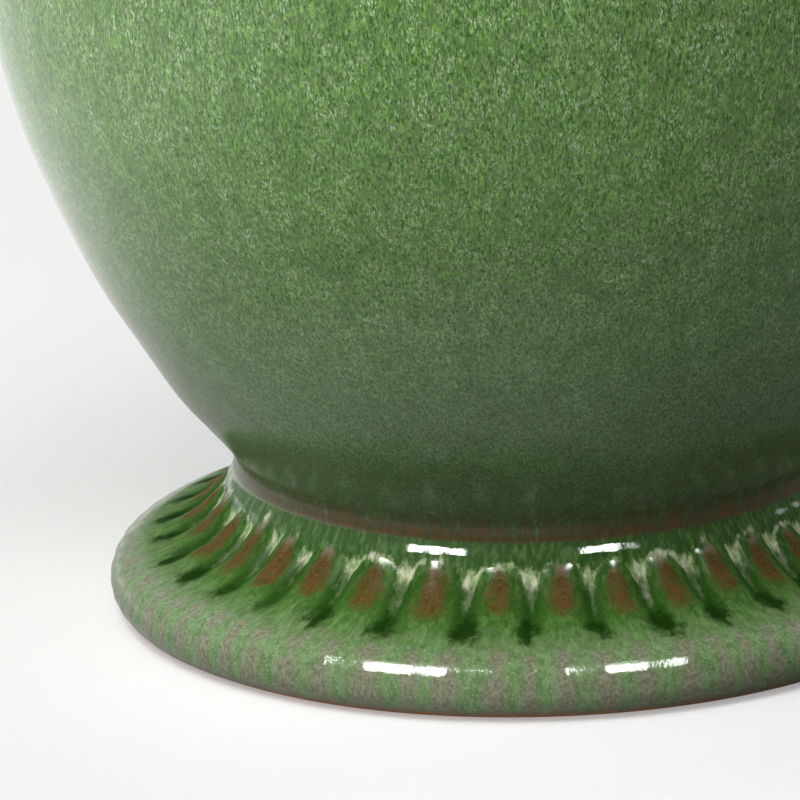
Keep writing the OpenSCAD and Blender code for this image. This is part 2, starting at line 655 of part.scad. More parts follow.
// Bound edge: a band on the outside, from height start to the edge, and a lip
// that covers the edge
module trim(start, edge) color([0.84, 0.78, 0.64]) {
  way = sign(edge - start);
  lip_in = edge + 0.02 * way;
  lip_out = edge + 0.57 * way;
  rotate_extrude($fn = 128) polygon([on_shade(start, 0.03), on_shade(start, 0.5),
    on_shade(start + way * 0.4, 0.58), on_shade(edge, 0.58), on_shade(lip_out, 0.3),
    on_shade(lip_out, -shade_t - 0.4), on_shade(lip_in, -shade_t - 0.6),
    on_shade(lip_in, 0.03)]);
}
trim_w = 9;
module shade_top_trim() trim(shade_top - trim_w, shade_top);
module shade_bottom_trim() trim(shade_bot + trim_w, shade_bot);

// ---------- finial ----------
insert_r = 4.6;
module finial_washer() color(brass) translate([0, 0, finial_z]) ring(6.6, 3.3, 0.8);
module finial_insert() color([0.7, 0.53, 0.25]) translate([0, 0, finial_z + 0.85]) difference() {
  union() {
    cylinder(r = 6, h = 1.4);
    translate([0, 0, 1.4 - eps]) cylinder(r = insert_r, h = 8.6);
  }
  translate([0, 0, -1]) cylinder(r = stud_r + gap, h = 12);
}

// Turned knob, as stations [radius, height]
knob_stations = [[6.2, 0], [6.8, 1.2], [6.1, 2.6], [5.6, 4], [6.4, 6], [8.6, 8.8],
  [9.8, 12.4], [9.5, 16.2], [7.6, 19.4], [4.6, 21.6], [2.6, 22.8], [2.2, 23.8],
  [2.7, 24.8], [2.2, 26], [0, 26.6]];
module finial_knob() color(brass) translate([0, 0, finial_z + 2.3])
  rotate_extrude() polygon(concat(clip(smooth(knob_stations, 3)),
    [[0, 9.8], [insert_r + gap, 9.8], [insert_r + gap, 0]]));

// ---------- cord ----------
module twin(radius) union() {
  translate([conductor_x, 0]) circle(r = radius);
  translate([-conductor_x, 0]) circle(r = radius);
}
module cord_section() twin(cord_r - $slim);

cord_z = cord_r + 0.15;              // the cord's axis where it lies on the table
plug_z = 7.2;                        // the plug's axis, lying on its side
ease = 20;                           // angle of the easy bends up and down
ease_r = 20;                         // their radius
table_r = 30;                        // radius of the bends on the table
// Sloping straight and whole length of an easy change of height
function ease_run(height) = (height - 2 * ease_r * (1 - cos(ease))) / sin(ease);
function ease_len(height) = 2 * ease_r * sin(ease) + ease_run(height) * cos(ease);
down = hole_z - cord_z;
rise = plug_z - cord_z;
landing = 8;                         // straight between the slope and the table bend
exit_y = foot_r + 6;                 // where the cord starts down
bend_y = exit_y + ease_len(down) + landing;
last = 20;                           // last straight on the table
plug_lead = 3;                       // level straight into the plug
plug_x = cord_run + 2 * table_r;
cord_end_y = bend_y - last - ease_len(rise) - plug_lead;

module power_cord() color([0.42, 0.33, 0.2]) {
  under_r = rod_bottom - hole_z;
  // down the rod, round under the floor, out at the back and down to the table
  translate([0, 0, cord_top]) rotate([90, 0, 90])
    sweep_path([[cord_top - rod_bottom, 0], [under_r, 90], [exit_y - under_r, 0],
      [ease_r, -ease], [ease_run(down), 0], [ease_r, ease], [landing + let_in, 0]], -90)
      rotate(90) cord_section();
  // across the table: right, then forward
  translate([0, bend_y, cord_z])
    sweep_path([[table_r, -90], [cord_run, 0], [table_r, -90], [last + let_in, 0]], 90)
      cord_section();
  // up into the plug
  translate([plug_x, bend_y - last, cord_z]) rotate([90, 0, -90])
    sweep_path([[ease_r, ease], [ease_run(rise), 0], [ease_r, -ease], [plug_lead, 0]], 0)
      rotate(90) cord_section();
}

// The plug's own +Z points forward, from the cord to the blades
blade_x = 6.35;
module at_plug() translate([plug_x, cord_end_y + 1.2, plug_z]) rotate([90, 0, 0]) children();

module plug_body() color([0.36, 0.28, 0.17]) at_plug() difference() {
  union() {
    // strain relief, finger grip and face block
    cylinder(r1 = 3.7, r2 = 4.8, h = 9);
    translate([-9, -5.6, 9 - eps]) cube([18, 11.2, 6.2]);
    translate([-11.5, -7, 15]) cube([23, 14, 9]);
  }
  translate([0, 0, -1]) linear_extrude(height = 4) twin(cord_r + 0.1);
  // grooves round the strain relief
  for (i = [0 : 2]) translate([0, 0, 2.2 + 2 * i]) difference() {
    cylinder(r = 8, h = 0.9);
    translate([0, 0, -1]) cylinder(r = 3.5, h = 3);
  }
  // grooves across the grip, above and below
  for (side = [-1, 1]) for (i = [0 : 2]) translate([-20, side * 5.9, 10.6 + 1.6 * i])
    rotate([0, 90, 0]) cylinder(r = 0.6, h = 40);
  // slots for the blades
  for (side = [-1, 1]) translate([side * blade_x - 0.8, -3.25, 12]) cube([1.6, 6.5, 20]);
}

module plug_blades() color([0.78, 0.66, 0.4]) at_plug() for (side = [-1, 1]) difference() {
  translate([side * blade_x - 0.75, -3.18, 12.1]) cube([1.5, 6.36, 28.5]);
  translate([side * blade_x - 2, 0, 37.2]) rotate([0, 90, 0]) cylinder(r = 1.5, h = 4);
}

ceramic_body();
felt_disc();
cord_bushing();
threaded_rod();
bottom_nut();
lock_washer();
bottom_washer();
rubber_washer();
vase_cap();
top_locknut();
brass_neck();
harp_saddle();
socket_cap();
cap_setscrew();
socket_shell();
shell_liner();
socket_interior();
screw_shell();
center_contact();
terminal_screws();
lead_wires();
switch_stem();
switch_key();
switch_cam();
bulb_contact();
bulb_cap();
bulb_insulator();
bulb_glass();
bulb_mount();
bulb_filament();
harp_wire();
harp_crown();
finial_stud();
harp_sleeve_left();
harp_sleeve_right();
shade_spider();
shade_bottom_ring();
shade_cover();
shade_top_trim();
shade_bottom_trim();
finial_washer();
finial_insert();
finial_knob();
power_cord();
plug_body();
plug_blades();
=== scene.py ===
import bpy
import bmesh
import json
import math
import numpy as np
from mathutils import Matrix, Vector

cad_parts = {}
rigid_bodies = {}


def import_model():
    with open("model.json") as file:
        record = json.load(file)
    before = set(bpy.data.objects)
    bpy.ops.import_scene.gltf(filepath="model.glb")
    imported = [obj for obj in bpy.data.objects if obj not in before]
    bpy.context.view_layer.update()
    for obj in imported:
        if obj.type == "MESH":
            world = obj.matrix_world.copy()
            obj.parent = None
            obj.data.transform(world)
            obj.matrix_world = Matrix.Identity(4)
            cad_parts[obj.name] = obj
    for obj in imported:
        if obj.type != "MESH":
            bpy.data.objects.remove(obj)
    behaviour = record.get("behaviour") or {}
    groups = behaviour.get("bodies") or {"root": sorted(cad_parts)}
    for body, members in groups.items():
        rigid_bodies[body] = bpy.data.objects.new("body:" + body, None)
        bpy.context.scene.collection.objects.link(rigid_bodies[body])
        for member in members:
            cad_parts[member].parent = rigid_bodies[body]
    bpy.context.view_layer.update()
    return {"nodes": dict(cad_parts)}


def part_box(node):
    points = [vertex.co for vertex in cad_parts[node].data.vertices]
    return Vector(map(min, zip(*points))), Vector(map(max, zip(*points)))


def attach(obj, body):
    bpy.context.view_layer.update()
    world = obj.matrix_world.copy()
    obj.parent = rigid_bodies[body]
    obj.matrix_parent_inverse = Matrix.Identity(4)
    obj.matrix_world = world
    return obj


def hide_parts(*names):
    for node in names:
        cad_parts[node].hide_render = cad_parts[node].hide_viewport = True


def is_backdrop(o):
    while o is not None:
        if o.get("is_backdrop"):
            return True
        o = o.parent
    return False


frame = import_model()
scene = bpy.context.scene
scene.view_settings.view_transform = "Standard"
scene.view_settings.look = "None"
MM = 0.001
PI = math.pi
TAU = 2 * math.pi


# =====================================================================
# node helpers
# =====================================================================
class Mat:
    """A small helper for building a material's nodes."""

    def __init__(self, name):
        self.m = bpy.data.materials.new(name)
        self.m.use_nodes = True
        self.t = self.m.node_tree
        self.t.nodes.clear()
        self.out = self.t.nodes.new("ShaderNodeOutputMaterial")
        self._obj = None

    def node(self, kind, **props):
        n = self.t.nodes.new(kind)
        for k, v in props.items():
            setattr(n, k, v)
        return n

    def put(self, sock, v):
        if v is None:
            return
        if isinstance(v, bpy.types.NodeSocket):
            self.t.links.new(v, sock)
        elif isinstance(v, (tuple, list)) and len(v) == 3 and sock.type == "RGBA":
            sock.default_value = (*v, 1.0)
        else:
            sock.default_value = v

    def obj(self):
        if self._obj is None:
            self._obj = self.node("ShaderNodeTexCoord").outputs["Object"]
        return self._obj

    def scaled(self, s, vec=None, rot=None, loc=None):
        n = self.node("ShaderNodeMapping")
        self.put(n.inputs["Vector"], vec if vec is not None else self.obj())
        n.inputs["Scale"].default_value = s if isinstance(s, (tuple, list)) else (s, s, s)
        if rot:
            n.inputs["Rotation"].default_value = rot
        if loc:
            n.inputs["Location"].default_value = loc
        return n.outputs[0]

    def noise(self, vec, scale=1.0, detail=2.0, rough=0.5, dist=0.0, color=False):
        n = self.node("ShaderNodeTexNoise")
        self.put(n.inputs["Vector"], vec)
        n.inputs["Scale"].default_value = scale
        n.inputs["Detail"].default_value = detail
        n.inputs["Roughness"].default_value = rough
        n.inputs["Distortion"].default_value = dist
        return n.outputs[1 if color else 0]

    def voro(self, vec, scale=1.0, feature="F1", rnd=1.0, out="Distance"):
        n = self.node("ShaderNodeTexVoronoi")
        n.feature = feature
        self.put(n.inputs["Vector"], vec)
        n.inputs["Scale"].default_value = scale
        n.inputs["Randomness"].default_value = rnd
        return n.outputs[out]

    def attr(self, name):
        n = self.node("ShaderNodeAttribute")
        n.attribute_name = name
        return n.outputs["Fac"]

    def attr_vec(self, name):
        n = self.node("ShaderNodeAttribute")
        n.attribute_name = name
        return n.outputs["Vector"]

    def xyz(self, vec=None):
        n = self.node("ShaderNodeSeparateXYZ")
        self.put(n.inputs[0], vec if vec is not None else self.obj())
        return n.outputs

    def comb(self, x, y, z):
        n = self.node("ShaderNodeCombineXYZ")
        for s, v in zip(n.inputs, (x, y, z)):
            self.put(s, v)
        return n.outputs[0]

    def math(self, op, a, b=None, c=None, clamp=False):
        n = self.node("ShaderNodeMath", operation=op)
        n.use_clamp = clamp
        self.put(n.inputs[0], a)
        self.put(n.inputs[1], b)
        self.put(n.inputs[2], c)
        return n.outputs[0]

    def mul(self, a, b, clamp=False):
        return self.math("MULTIPLY", a, b, clamp=clamp)

    def add(self, a, b, clamp=False):
        return self.math("ADD", a, b, clamp=clamp)

    def rng(self, v, a, b, c=0.0, d=1.0, smooth=False):
        n = self.node("ShaderNodeMapRange")
        n.clamp = True
        if smooth:
            n.interpolation_type = "SMOOTHSTEP"
        self.put(n.inputs[0], v)
        for i, x in enumerate((a, b, c, d)):
            self.put(n.inputs[i + 1], x)
        return n.outputs[0]

    def mix(self, f, a, b, kind="MIX"):
        n = self.node("ShaderNodeMix", data_type="RGBA", blend_type=kind)
        self.put(n.inputs[0], f)
        self.put(n.inputs[6], a)
        self.put(n.inputs[7], b)
        return n.outputs[2]

    def ramp(self, f, stops, interp="LINEAR"):
        n = self.node("ShaderNodeValToRGB")
        self.put(n.inputs[0], f)
        r = n.color_ramp
        r.interpolation = interp
        while len(r.elements) < len(stops):
            r.elements.new(0.5)
        for e, (p, c) in zip(r.elements, stops):
            e.position = p
            e.color = (*c, 1.0) if len(c) == 3 else c
        return n.outputs[0]

    def bump(self, h, dist, strength=1.0, normal=None):
        n = self.node("ShaderNodeBump")
        n.inputs["Strength"].default_value = strength
        n.inputs["Distance"].default_value = dist
        self.put(n.inputs["Height"], h)
        self.put(n.inputs["Normal"], normal)
        return n.outputs[0]

    def bsdf(self, **kw):
        n = self.node("ShaderNodeBsdfPrincipled")
        names = {
            "color": "Base Color", "metal": "Metallic", "rough": "Roughness", "ior": "IOR",
            "spec": "Specular IOR Level", "coat": "Coat Weight", "coat_rough": "Coat Roughness",
            "coat_ior": "Coat IOR", "coat_normal": "Coat Normal", "normal": "Normal",
            "sheen": "Sheen Weight", "sheen_rough": "Sheen Roughness", "sheen_tint": "Sheen Tint",
            "sss": "Subsurface Weight", "sss_scale": "Subsurface Scale", "sss_radius": "Subsurface Radius",
            "trans": "Transmission Weight", "aniso": "Anisotropic", "alpha": "Alpha",
            "coat_tint": "Coat Tint", "emit": "Emission Color", "emit_k": "Emission Strength",
            "tangent": "Tangent",
        }
        for k, v in kw.items():
            self.put(n.inputs[names[k]], v)
        self.t.links.new(n.outputs[0], self.out.inputs["Surface"])
        return n


def srgb(r, g, b):
    def f(c):
        c /= 255.0
        return c / 12.92 if c <= 0.04045 else ((c + 0.055) / 1.055) ** 2.4
    return (f(r), f(g), f(b))


# =====================================================================
# geometry helpers (profiles and paths in millimetres)
# =====================================================================
def sstep(a, b, x):
    t = np.clip((np.asarray(x, float) - a) / (b - a), 0, 1)
    return t * t * (3 - 2 * t)


def catmull(pts, n):
    P = np.array(pts, float)
    out = []
    m = len(P)
    for i in range(m - 1):
        a, b, c, d = P[max(i - 1, 0)], P[i], P[i + 1], P[min(i + 2, m - 1)]
        for k in range(n):
            t = k / n
            out.append(0.5 * ((2 * b) + (c - a) * t + (2 * a - 5 * b + 4 * c - d) * t * t
                              + (3 * b - a - 3 * c + d) * t ** 3))
    out.append(P[-1])
    return np.array(out)


def rounded(pts, closed=True, seg=5):
    """A polyline whose corners carry an optional third number, their fillet radius."""
    P = [np.array(p[:2], float) for p in pts]
    R = [p[2] if len(p) > 2 else 0.0 for p in pts]
    n = len(P)
    out = []
    for i in range(n):
        if R[i] <= 0 or (not closed and i in (0, n - 1)):
            out.append(P[i])
            continue
        a, b, c = P[i - 1], P[i], P[(i + 1) % n]
        u, v = a - b, c - b
        lu, lv = np.linalg.norm(u), np.linalg.norm(v)
        u, v = u / lu, v / lv
        ang = math.acos(max(-1, min(1, float(u @ v))))
        if ang > PI - 0.03 or ang < 0.03:
            out.append(b)
            continue
        t = min(R[i] / math.tan(ang / 2), 0.49 * lu, 0.49 * lv)
        r = t * math.tan(ang / 2)
        bis = (u + v) / np.linalg.norm(u + v)
        cc = b + bis * (r / math.sin(ang / 2))
        p0, p1 = b + u * t, b + v * t
        a0 = math.atan2(*(p0 - cc)[::-1])
        a1 = math.atan2(*(p1 - cc)[::-1])
        d = (a1 - a0 + PI) % TAU - PI
        for k in range(seg + 1):
            w = a0 + d * k / seg
            out.append(cc + r * np.array([math.cos(w), math.sin(w)]))
    return np.array(out)


def resample(P, step, closed=False):
    P = np.asarray(P, float)
    if closed:
        P = np.vstack([P, P[:1]])
    d = np.r_[0, np.cumsum(np.linalg.norm(np.diff(P, axis=0), axis=1))]
    n = max(2, int(round(d[-1] / step)) + 1)
    s = np.linspace(0, d[-1], n)
    return np.stack([np.interp(s, d, P[:, k]) for k in range(P.shape[1])], 1)


def build(name, V, F, body, slot, mat, repl=(), smooth=True, sharp=None, attrs=None, recalc=True, mats=None, fmat=None, uv=None):
    """A mesh object in metres from millimetre vertices, riding on a body."""
    me = bpy.data.meshes.new(name)
    me.from_pydata((np.asarray(V, float) * MM).tolist(), [], [list(map(int, f)) for f in F])
    me.update()
    if attrs:
        for k, a in attrs.items():
            at = me.attributes.new(k, "FLOAT", "POINT")
            at.data.foreach_set("value", np.asarray(a, np.float32))
    if fmat is not None:
        me.polygons.foreach_set("material_index", np.asarray(fmat, np.int32))
    if uv is not None:
        lay = me.uv_layers.new(name="weave")
        lay.data.foreach_set("uv", np.asarray(uv, np.float32).ravel())
    if recalc:
        bm = bmesh.new()
        bm.from_mesh(me)
        bmesh.ops.recalc_face_normals(bm, faces=bm.faces)
        bm.to_mesh(me)
        bm.free()
    me.polygons.foreach_set("use_smooth", [smooth] * len(me.polygons))
    if sharp:
        me.set_sharp_from_angle(angle=math.radians(sharp))
    for m in (mats or [mat]):
        me.materials.append(m.m if isinstance(m, Mat) else m)
    o = bpy.data.objects.new(name, me)
    scene.collection.objects.link(o)
    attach(o, body)
    if repl:
        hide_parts(*repl)
    return o


def lathe_vf(prof, n, closed=True, disp=None, a0=0.0):
    """Vertices and faces of a revolved profile. disp(theta, k, r, z) gives (r, z)."""
    prof = np.asarray(prof, float)
    M = len(prof)
    th = a0 + np.arange(n) * TAU / n
    V, idx = [], []
    base = 0
    for k, (r, z) in enumerate(prof):
        if abs(r) < 1e-6:
            V.append(np.array([[0, 0, z]]))
            idx.append(np.full(n, base))
            base += 1
            continue
        rr, zz = np.full(n, r), np.full(n, z)
        if disp is not None:
            rr, zz = disp(th, k, rr, zz)
        V.append(np.stack([rr * np.cos(th), rr * np.sin(th), zz], 1))
        idx.append(base + np.arange(n))
        base += n
    V = np.vstack(V)
    F = []
    for k in range(M if closed else M - 1):
        a, b = idx[k], idx[(k + 1) % M]
        pa, pb = a[0] == a[1], b[0] == b[1]
        if pa and pb:
            continue
        for i in range(n):
            j = (i + 1) % n
            if pa:
                F.append((a[i], b[j], b[i]))
            elif pb:
                F.append((a[i], a[j], b[i]))
            else:
                F.append((a[i], a[j], b[j], b[i]))
    return V, F


def lathe(name, prof, n, body, slot, mat, repl=(), closed=True, disp=None, at=(0, 0, 0), rot=None, sharp=35, **kw):
    V, F = lathe_vf(prof, n, closed, disp)
    if rot is not None:
        V = V @ np.array(rot.to_3x3()).T
    V = V + np.array(at, float)
    return build(name, V, F, body, slot, mat, repl, sharp=sharp, **kw)


def sweep_vf(P, sec, up, caps=True, scale=None):
    """Sweeps a section (side, up) along a path with frames that don't twist."""
    P = np.asarray(P, float)
    n = len(P)
    T = np.gradient(P, axis=0)
    T /= np.linalg.norm(T, axis=1)[:, None]
    u = np.array(up, float)
    u -= (u @ T[0]) * T[0]
    u /= np.linalg.norm(u)
    V = []
    sec = np.asarray(sec, float)
    m = len(sec)
    for i in range(n):
        if i:
            axis = np.cross(T[i - 1], T[i])
            s = np.linalg.norm(axis)
            if s > 1e-9:
                axis /= s
                a = math.atan2(s, float(T[i - 1] @ T[i]))
                u = u * math.cos(a) + np.cross(axis, u) * math.sin(a) + axis * (axis @ u) * (1 - math.cos(a))
            u -= (u @ T[i]) * T[i]
            u /= np.linalg.norm(u)
        w = np.cross(T[i], u)
        k = 1.0 if scale is None else scale[i]
        V.append(P[i] + k * (sec[:, :1] * w + sec[:, 1:] * u))
    V = np.vstack(V)
    F = []
    for i in range(n - 1):
        for j in range(m):
            k = (j + 1) % m
            F.append((i * m + j, i * m + k, (i + 1) * m + k, (i + 1) * m + j))
    if caps:
        F.append(tuple(range(m)))
        F.append(tuple((n - 1) * m + j for j in range(m)))
    return V, F


def circle(r, n=20):
    a = np.arange(n) * TAU / n
    return np.stack([r * np.cos(a), r * np.sin(a)], 1)


def turtle(steps, a0, start=(0, 0), res=2.0):
    """The CAD's planar paths: [length, 0] is a straight, [radius, turn] a bend."""
    p = np.array(start, float)
    h = math.radians(a0)
    out = [p.copy()]
    for l, t in steps:
        if t == 0:
            k = max(1, int(math.ceil(l / (res * 3))))
            d = np.array([math.cos(h), math.sin(h)])
            for i in range(1, k + 1):
                out.append(p + d * l * i / k)
            p = p + d * l
        else:
            s = 1 if t > 0 else -1
            tr = math.radians(t)
            c = p + s * l * np.array([-math.sin(h), math.cos(h)])
            k = max(3, int(math.ceil(abs(tr) * l / res)), int(abs(t) / 7.5))
            for i in range(1, k + 1):
                a = h + tr * i / k
                out.append(c + s * l * np.array([math.sin(a), -math.cos(a)]))
            h += tr
            p = out[-1].copy()
    return np.array(out)


def smooth_noise(seed, terms, lo, hi, amp=1.0):
    """A periodic function of the angle, from a few sines."""
    r = np.random.RandomState(seed)
    ks = r.randint(lo, hi + 1, terms)
    ph = r.rand(terms) * TAU
    am = r.rand(terms) * 0.6 + 0.4
    am = am / np.sqrt((am ** 2).sum()) * amp
    return lambda th: sum(a * np.sin(k * np.asarray(th) + p) for a, k, p in zip(am, ks, ph))


def cut(obj, cutters):
    """Boolean difference, applied, and the cutters removed."""
    for c in cutters:
        m = obj.modifiers.new("cut", "BOOLEAN")
        m.operation = "DIFFERENCE"
        m.solver = "EXACT"
        m.object = c
    bpy.context.view_layer.update()
    dg = bpy.context.evaluated_depsgraph_get()
    new = bpy.data.meshes.new_from_object(obj.evaluated_get(dg))
    obj.modifiers.clear()
    obj.data = new
    for c in cutters:
        bpy.data.objects.remove(c)


def temp_mesh(V, F):
    me = bpy.data.meshes.new("cutter")
    me.from_pydata((np.asarray(V, float) * MM).tolist(), [], [list(map(int, f)) for f in F])
    bm = bmesh.new()
    bm.from_mesh(me)
    bmesh.ops.recalc_face_normals(bm, faces=bm.faces)
    bm.to_mesh(me)
    bm.free()
    o = bpy.data.objects.new("cutter", me)
    scene.collection.objects.link(o)
    return o


def prism(outline, z0, z1):
    """A prism from a 2D outline."""
    o = np.asarray(outline, float)
    m = len(o)
    V = np.vstack([np.c_[o, np.full(m, z0)], np.c_[o, np.full(m, z1)]])
    F = [tuple(range(m - 1, -1, -1)), tuple(range(m, 2 * m))]
    F += [(j, (j + 1) % m, m + (j + 1) % m, m + j) for j in range(m)]
    return V, F


def bevelled(name, V, F, body, slot, mat, width, seg=3, repl=(), limit=30, **kw):
    """A solid whose edges are rounded with a bevel, applied."""
    o = build(name, V, F, body, slot, mat, repl, smooth=True, **kw)
    b = o.modifiers.new("bevel", "BEVEL")
    b.width = width * MM
    b.segments = seg
    b.limit_method = "ANGLE"
    b.angle_limit = math.radians(limit)
    b.harden_normals = False
    bpy.context.view_layer.update()
    dg = bpy.context.evaluated_depsgraph_get()
    new = bpy.data.meshes.new_from_object(o.evaluated_get(dg))
    o.modifiers.clear()
    o.data = new
    o.data.set_sharp_from_angle(angle=math.radians(50))
    return o


# =====================================================================
# levels and sizes, from the frame
# =====================================================================
def top(n):
    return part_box(n)[1].z / MM


def bot(n):
    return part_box(n)[0].z / MM


LIP_Z = top("ceramic_body")
BELLY_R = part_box("ceramic_body")[1].x / MM
VCAP_Z = bot("vase_cap")
VCAP_TOP = top("vase_cap")
NECK_TOP = top("brass_neck")
SOCK_Z = bot("socket_cap")
STEM_Z = (bot("switch_stem") + top("switch_stem")) / 2
BULB_Z = bot("bulb_contact")
CROWN_TOP = top("harp_crown")
SHADE_BOT = bot("shade_cover")
SHADE_TOP = top("shade_cover")
SHADE_R1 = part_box("shade_cover")[1].x / MM
_k = 9 / (SHADE_TOP - SHADE_BOT)
SHADE_R2 = (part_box("shade_top_trim")[1].x / MM - 0.58 - _k * SHADE_R1) / (1 - _k)
SHADE_T = 0.9
SPIDER_Z = bot("finial_washer") - 1.5 - 0.05
FIN_Z = bot("finial_washer")


# =====================================================================
# materials
# =====================================================================
def glaze_material():
    m = Mat("glaze")
    P = m.obj()
    x, y, z = m.xyz()
    zmm = m.mul(z, 1000.0)
    crest, pool, valley = m.attr("crest"), m.attr("pool"), m.attr("valley")
    pale, rim, fs, arc, bare = m.attr("pale"), m.attr("rim"), m.attr("fs"), m.attr("arc"), m.attr("bare")

    def sep(c):
        n = m.node("ShaderNodeSeparateColor")
        m.put(n.inputs[0], c)
        return n.outputs

    # crystals: fine grains drawn out a little downwards, in several hues
    g1 = sep(m.noise(m.scaled((2100.0, 2100.0, 760.0)), 1.0, 2.0, 0.60, color=True))
    g2 = sep(m.noise(m.scaled((3600.0, 3600.0, 1500.0), loc=(3.1, 7.7, 1.3)), 1.0, 1.0, 0.5, color=True))
    mid = sep(m.noise(m.scaled((680.0, 680.0, 300.0)), 1.0, 3.0, 0.62, color=True))
    clus = m.noise(m.scaled((210.0, 210.0, 130.0)), 1.0, 3.0, 0.60)
    cloud = m.noise(m.scaled((34.0, 34.0, 26.0)), 1.0, 2.0, 0.5)
    spark = m.scaled((2100.0, 2100.0, 1100.0))
    sd = m.voro(spark, 1.0, "F1", 1.0)
    sc = sep(m.voro(spark, 1.0, "F1", 1.0, "Color"))

    # the belly's colour: yellow-green above, deep grey-green below, partly the glaze's own variation and partly painted
    # shade, darker towards the bottom where the belly turns away from the light
    hz = m.rng(zmm, 30.0, 140.0, 0.0, 1.0)
    hz = m.add(hz, m.rng(cloud, 0.3, 0.7, -0.03, 0.03), clamp=True)
    mean = m.ramp(hz, [
        (0.00, (0.082, 0.122, 0.058)), (0.10, (0.110, 0.168, 0.078)), (0.30, (0.150, 0.256, 0.096)),
        (0.60, (0.150, 0.300, 0.082)), (1.00, (0.135, 0.300, 0.064))])
    deep = m.ramp(hz, [
        (0.00, (0.046, 0.084, 0.028)), (0.30, (0.058, 0.150, 0.030)), (0.60, (0.050, 0.165, 0.018)), (1.00, (0.030, 0.125, 0.008))])
    fresh = m.ramp(hz, [
        (0.00, (0.115, 0.180, 0.076)), (0.30, (0.225, 0.400, 0.130)), (0.60, (0.250, 0.500, 0.110)), (1.00, (0.250, 0.530, 0.090))])
    taupe = m.ramp(hz, [
        (0.00, (0.115, 0.130, 0.084)), (0.35, (0.200, 0.230, 0.135)), (1.00, (0.225, 0.275, 0.135))])
    frost = m.ramp(hz, [
        (0.00, (0.200, 0.260, 0.175)), (0.35, (0.460, 0.600, 0.390)), (1.00, (0.740, 0.920, 0.600))])
    act = m.rng(hz, 0.0, 0.45, 0.35, 1.0)
    col = m.mix(m.rng(m.add(m.mul(g1[0], 0.65), m.mul(g2[0], 0.35)), 0.42, 0.51, 1.0, 0.0), mean, deep)
    col = m.mix(m.rng(m.add(m.mul(g1[1], 0.75), m.mul(mid[1], 0.25)), 0.51, 0.60, 0.0, 0.9), col, fresh)
    col = m.mix(m.mul(m.rng(m.add(m.mul(g2[1], 0.6), m.mul(mid[0], 0.4)), 0.52, 0.63, 0.0, 0.70), act), col, taupe)
    where = m.rng(m.add(m.mul(clus, 0.6), m.mul(mid[2], 0.4)), 0.42, 0.62, 0.12, 1.0)
    col = m.mix(m.mul(m.mul(m.rng(m.add(m.mul(g1[2], 0.5), m.mul(g2[2], 0.5)), 0.525, 0.61, 0.0, 0.85), where), act), col, frost)
    glint = m.mul(m.rng(sd, 0.12, 0.36, 1.0, 0.0, True), m.rng(sc[0], 0.86, 0.93, 0.0, 1.0))
    col = m.mix(m.mul(m.mul(glint, where), 0.55), col, m.mix(sc[1], frost, (0.55, 0.66, 0.62)))
    dshade = m.rng(clus, 0.30, 0.52, 0.90, 1.0)
    dn = m.node("ShaderNodeMix", data_type="RGBA", blend_type="MULTIPLY")
    dn.inputs[0].default_value = 1.0
    m.put(dn.inputs[6], col)
    m.put(dn.inputs[7], dshade)
    col = dn.outputs[2]

    # the collar: glaze run thin above the fold, brown in fine vertical threads
    run = m.noise(m.scaled((760.0, 760.0, 56.0)), 1.0, 4.0, 0.66)
    runb = m.noise(m.scaled((230.0, 230.0, 30.0), loc=(2.0, 1.0, 0.0)), 1.0, 2.0, 0.5)
    ztop = m.add(zmm, m.add(m.rng(run, 0.3, 0.7, -2.8, 2.8), m.rng(runb, 0.3, 0.7, -1.3, 1.3)))
    band = m.mul(m.rng(m.add(zmm, m.rng(run, 0.3, 0.7, -0.30, 0.30)), 24.9, 25.5, 0.0, 1.0, True),
                 m.rng(ztop, 26.6, 31.4, 1.0, 0.0, True))
    thread = m.rng(run, 0.40, 0.60, 0.0, 1.0)
    low = m.rng(zmm, 25.2, 29.5, 1.0, 0.0, True)
    brown = m.mix(thread, m.mix(low, (0.088, 0.078, 0.030), (0.135, 0.066, 0.006)), m.mix(low, (0.050, 0.072, 0.024), (0.062, 0.058, 0.008)))
    brown = m.mix(m.rng(g1[0], 0.52, 0.66, 0.0, 0.35), brown, (0.130, 0.090, 0.040))
    brown = m.mix(m.rng(run, 0.58, 0.70, 0.0, 0.55), brown, (0.200, 0.180, 0.110))
    col = m.mix(m.mul(band, 0.93), col, brown)

    # the foot: glossy mid green, paler towards the shoulder
    foot = m.rng(m.add(zmm, m.rng(run, 0.3, 0.7, -0.30, 0.30)), 25.5, 24.9, 0.0, 1.0, True)
    rad = m.math("SQRT", m.add(m.mul(x, x), m.mul(y, y)))
    cx, cy = m.math("DIVIDE", x, rad), m.math("DIVIDE", y, rad)

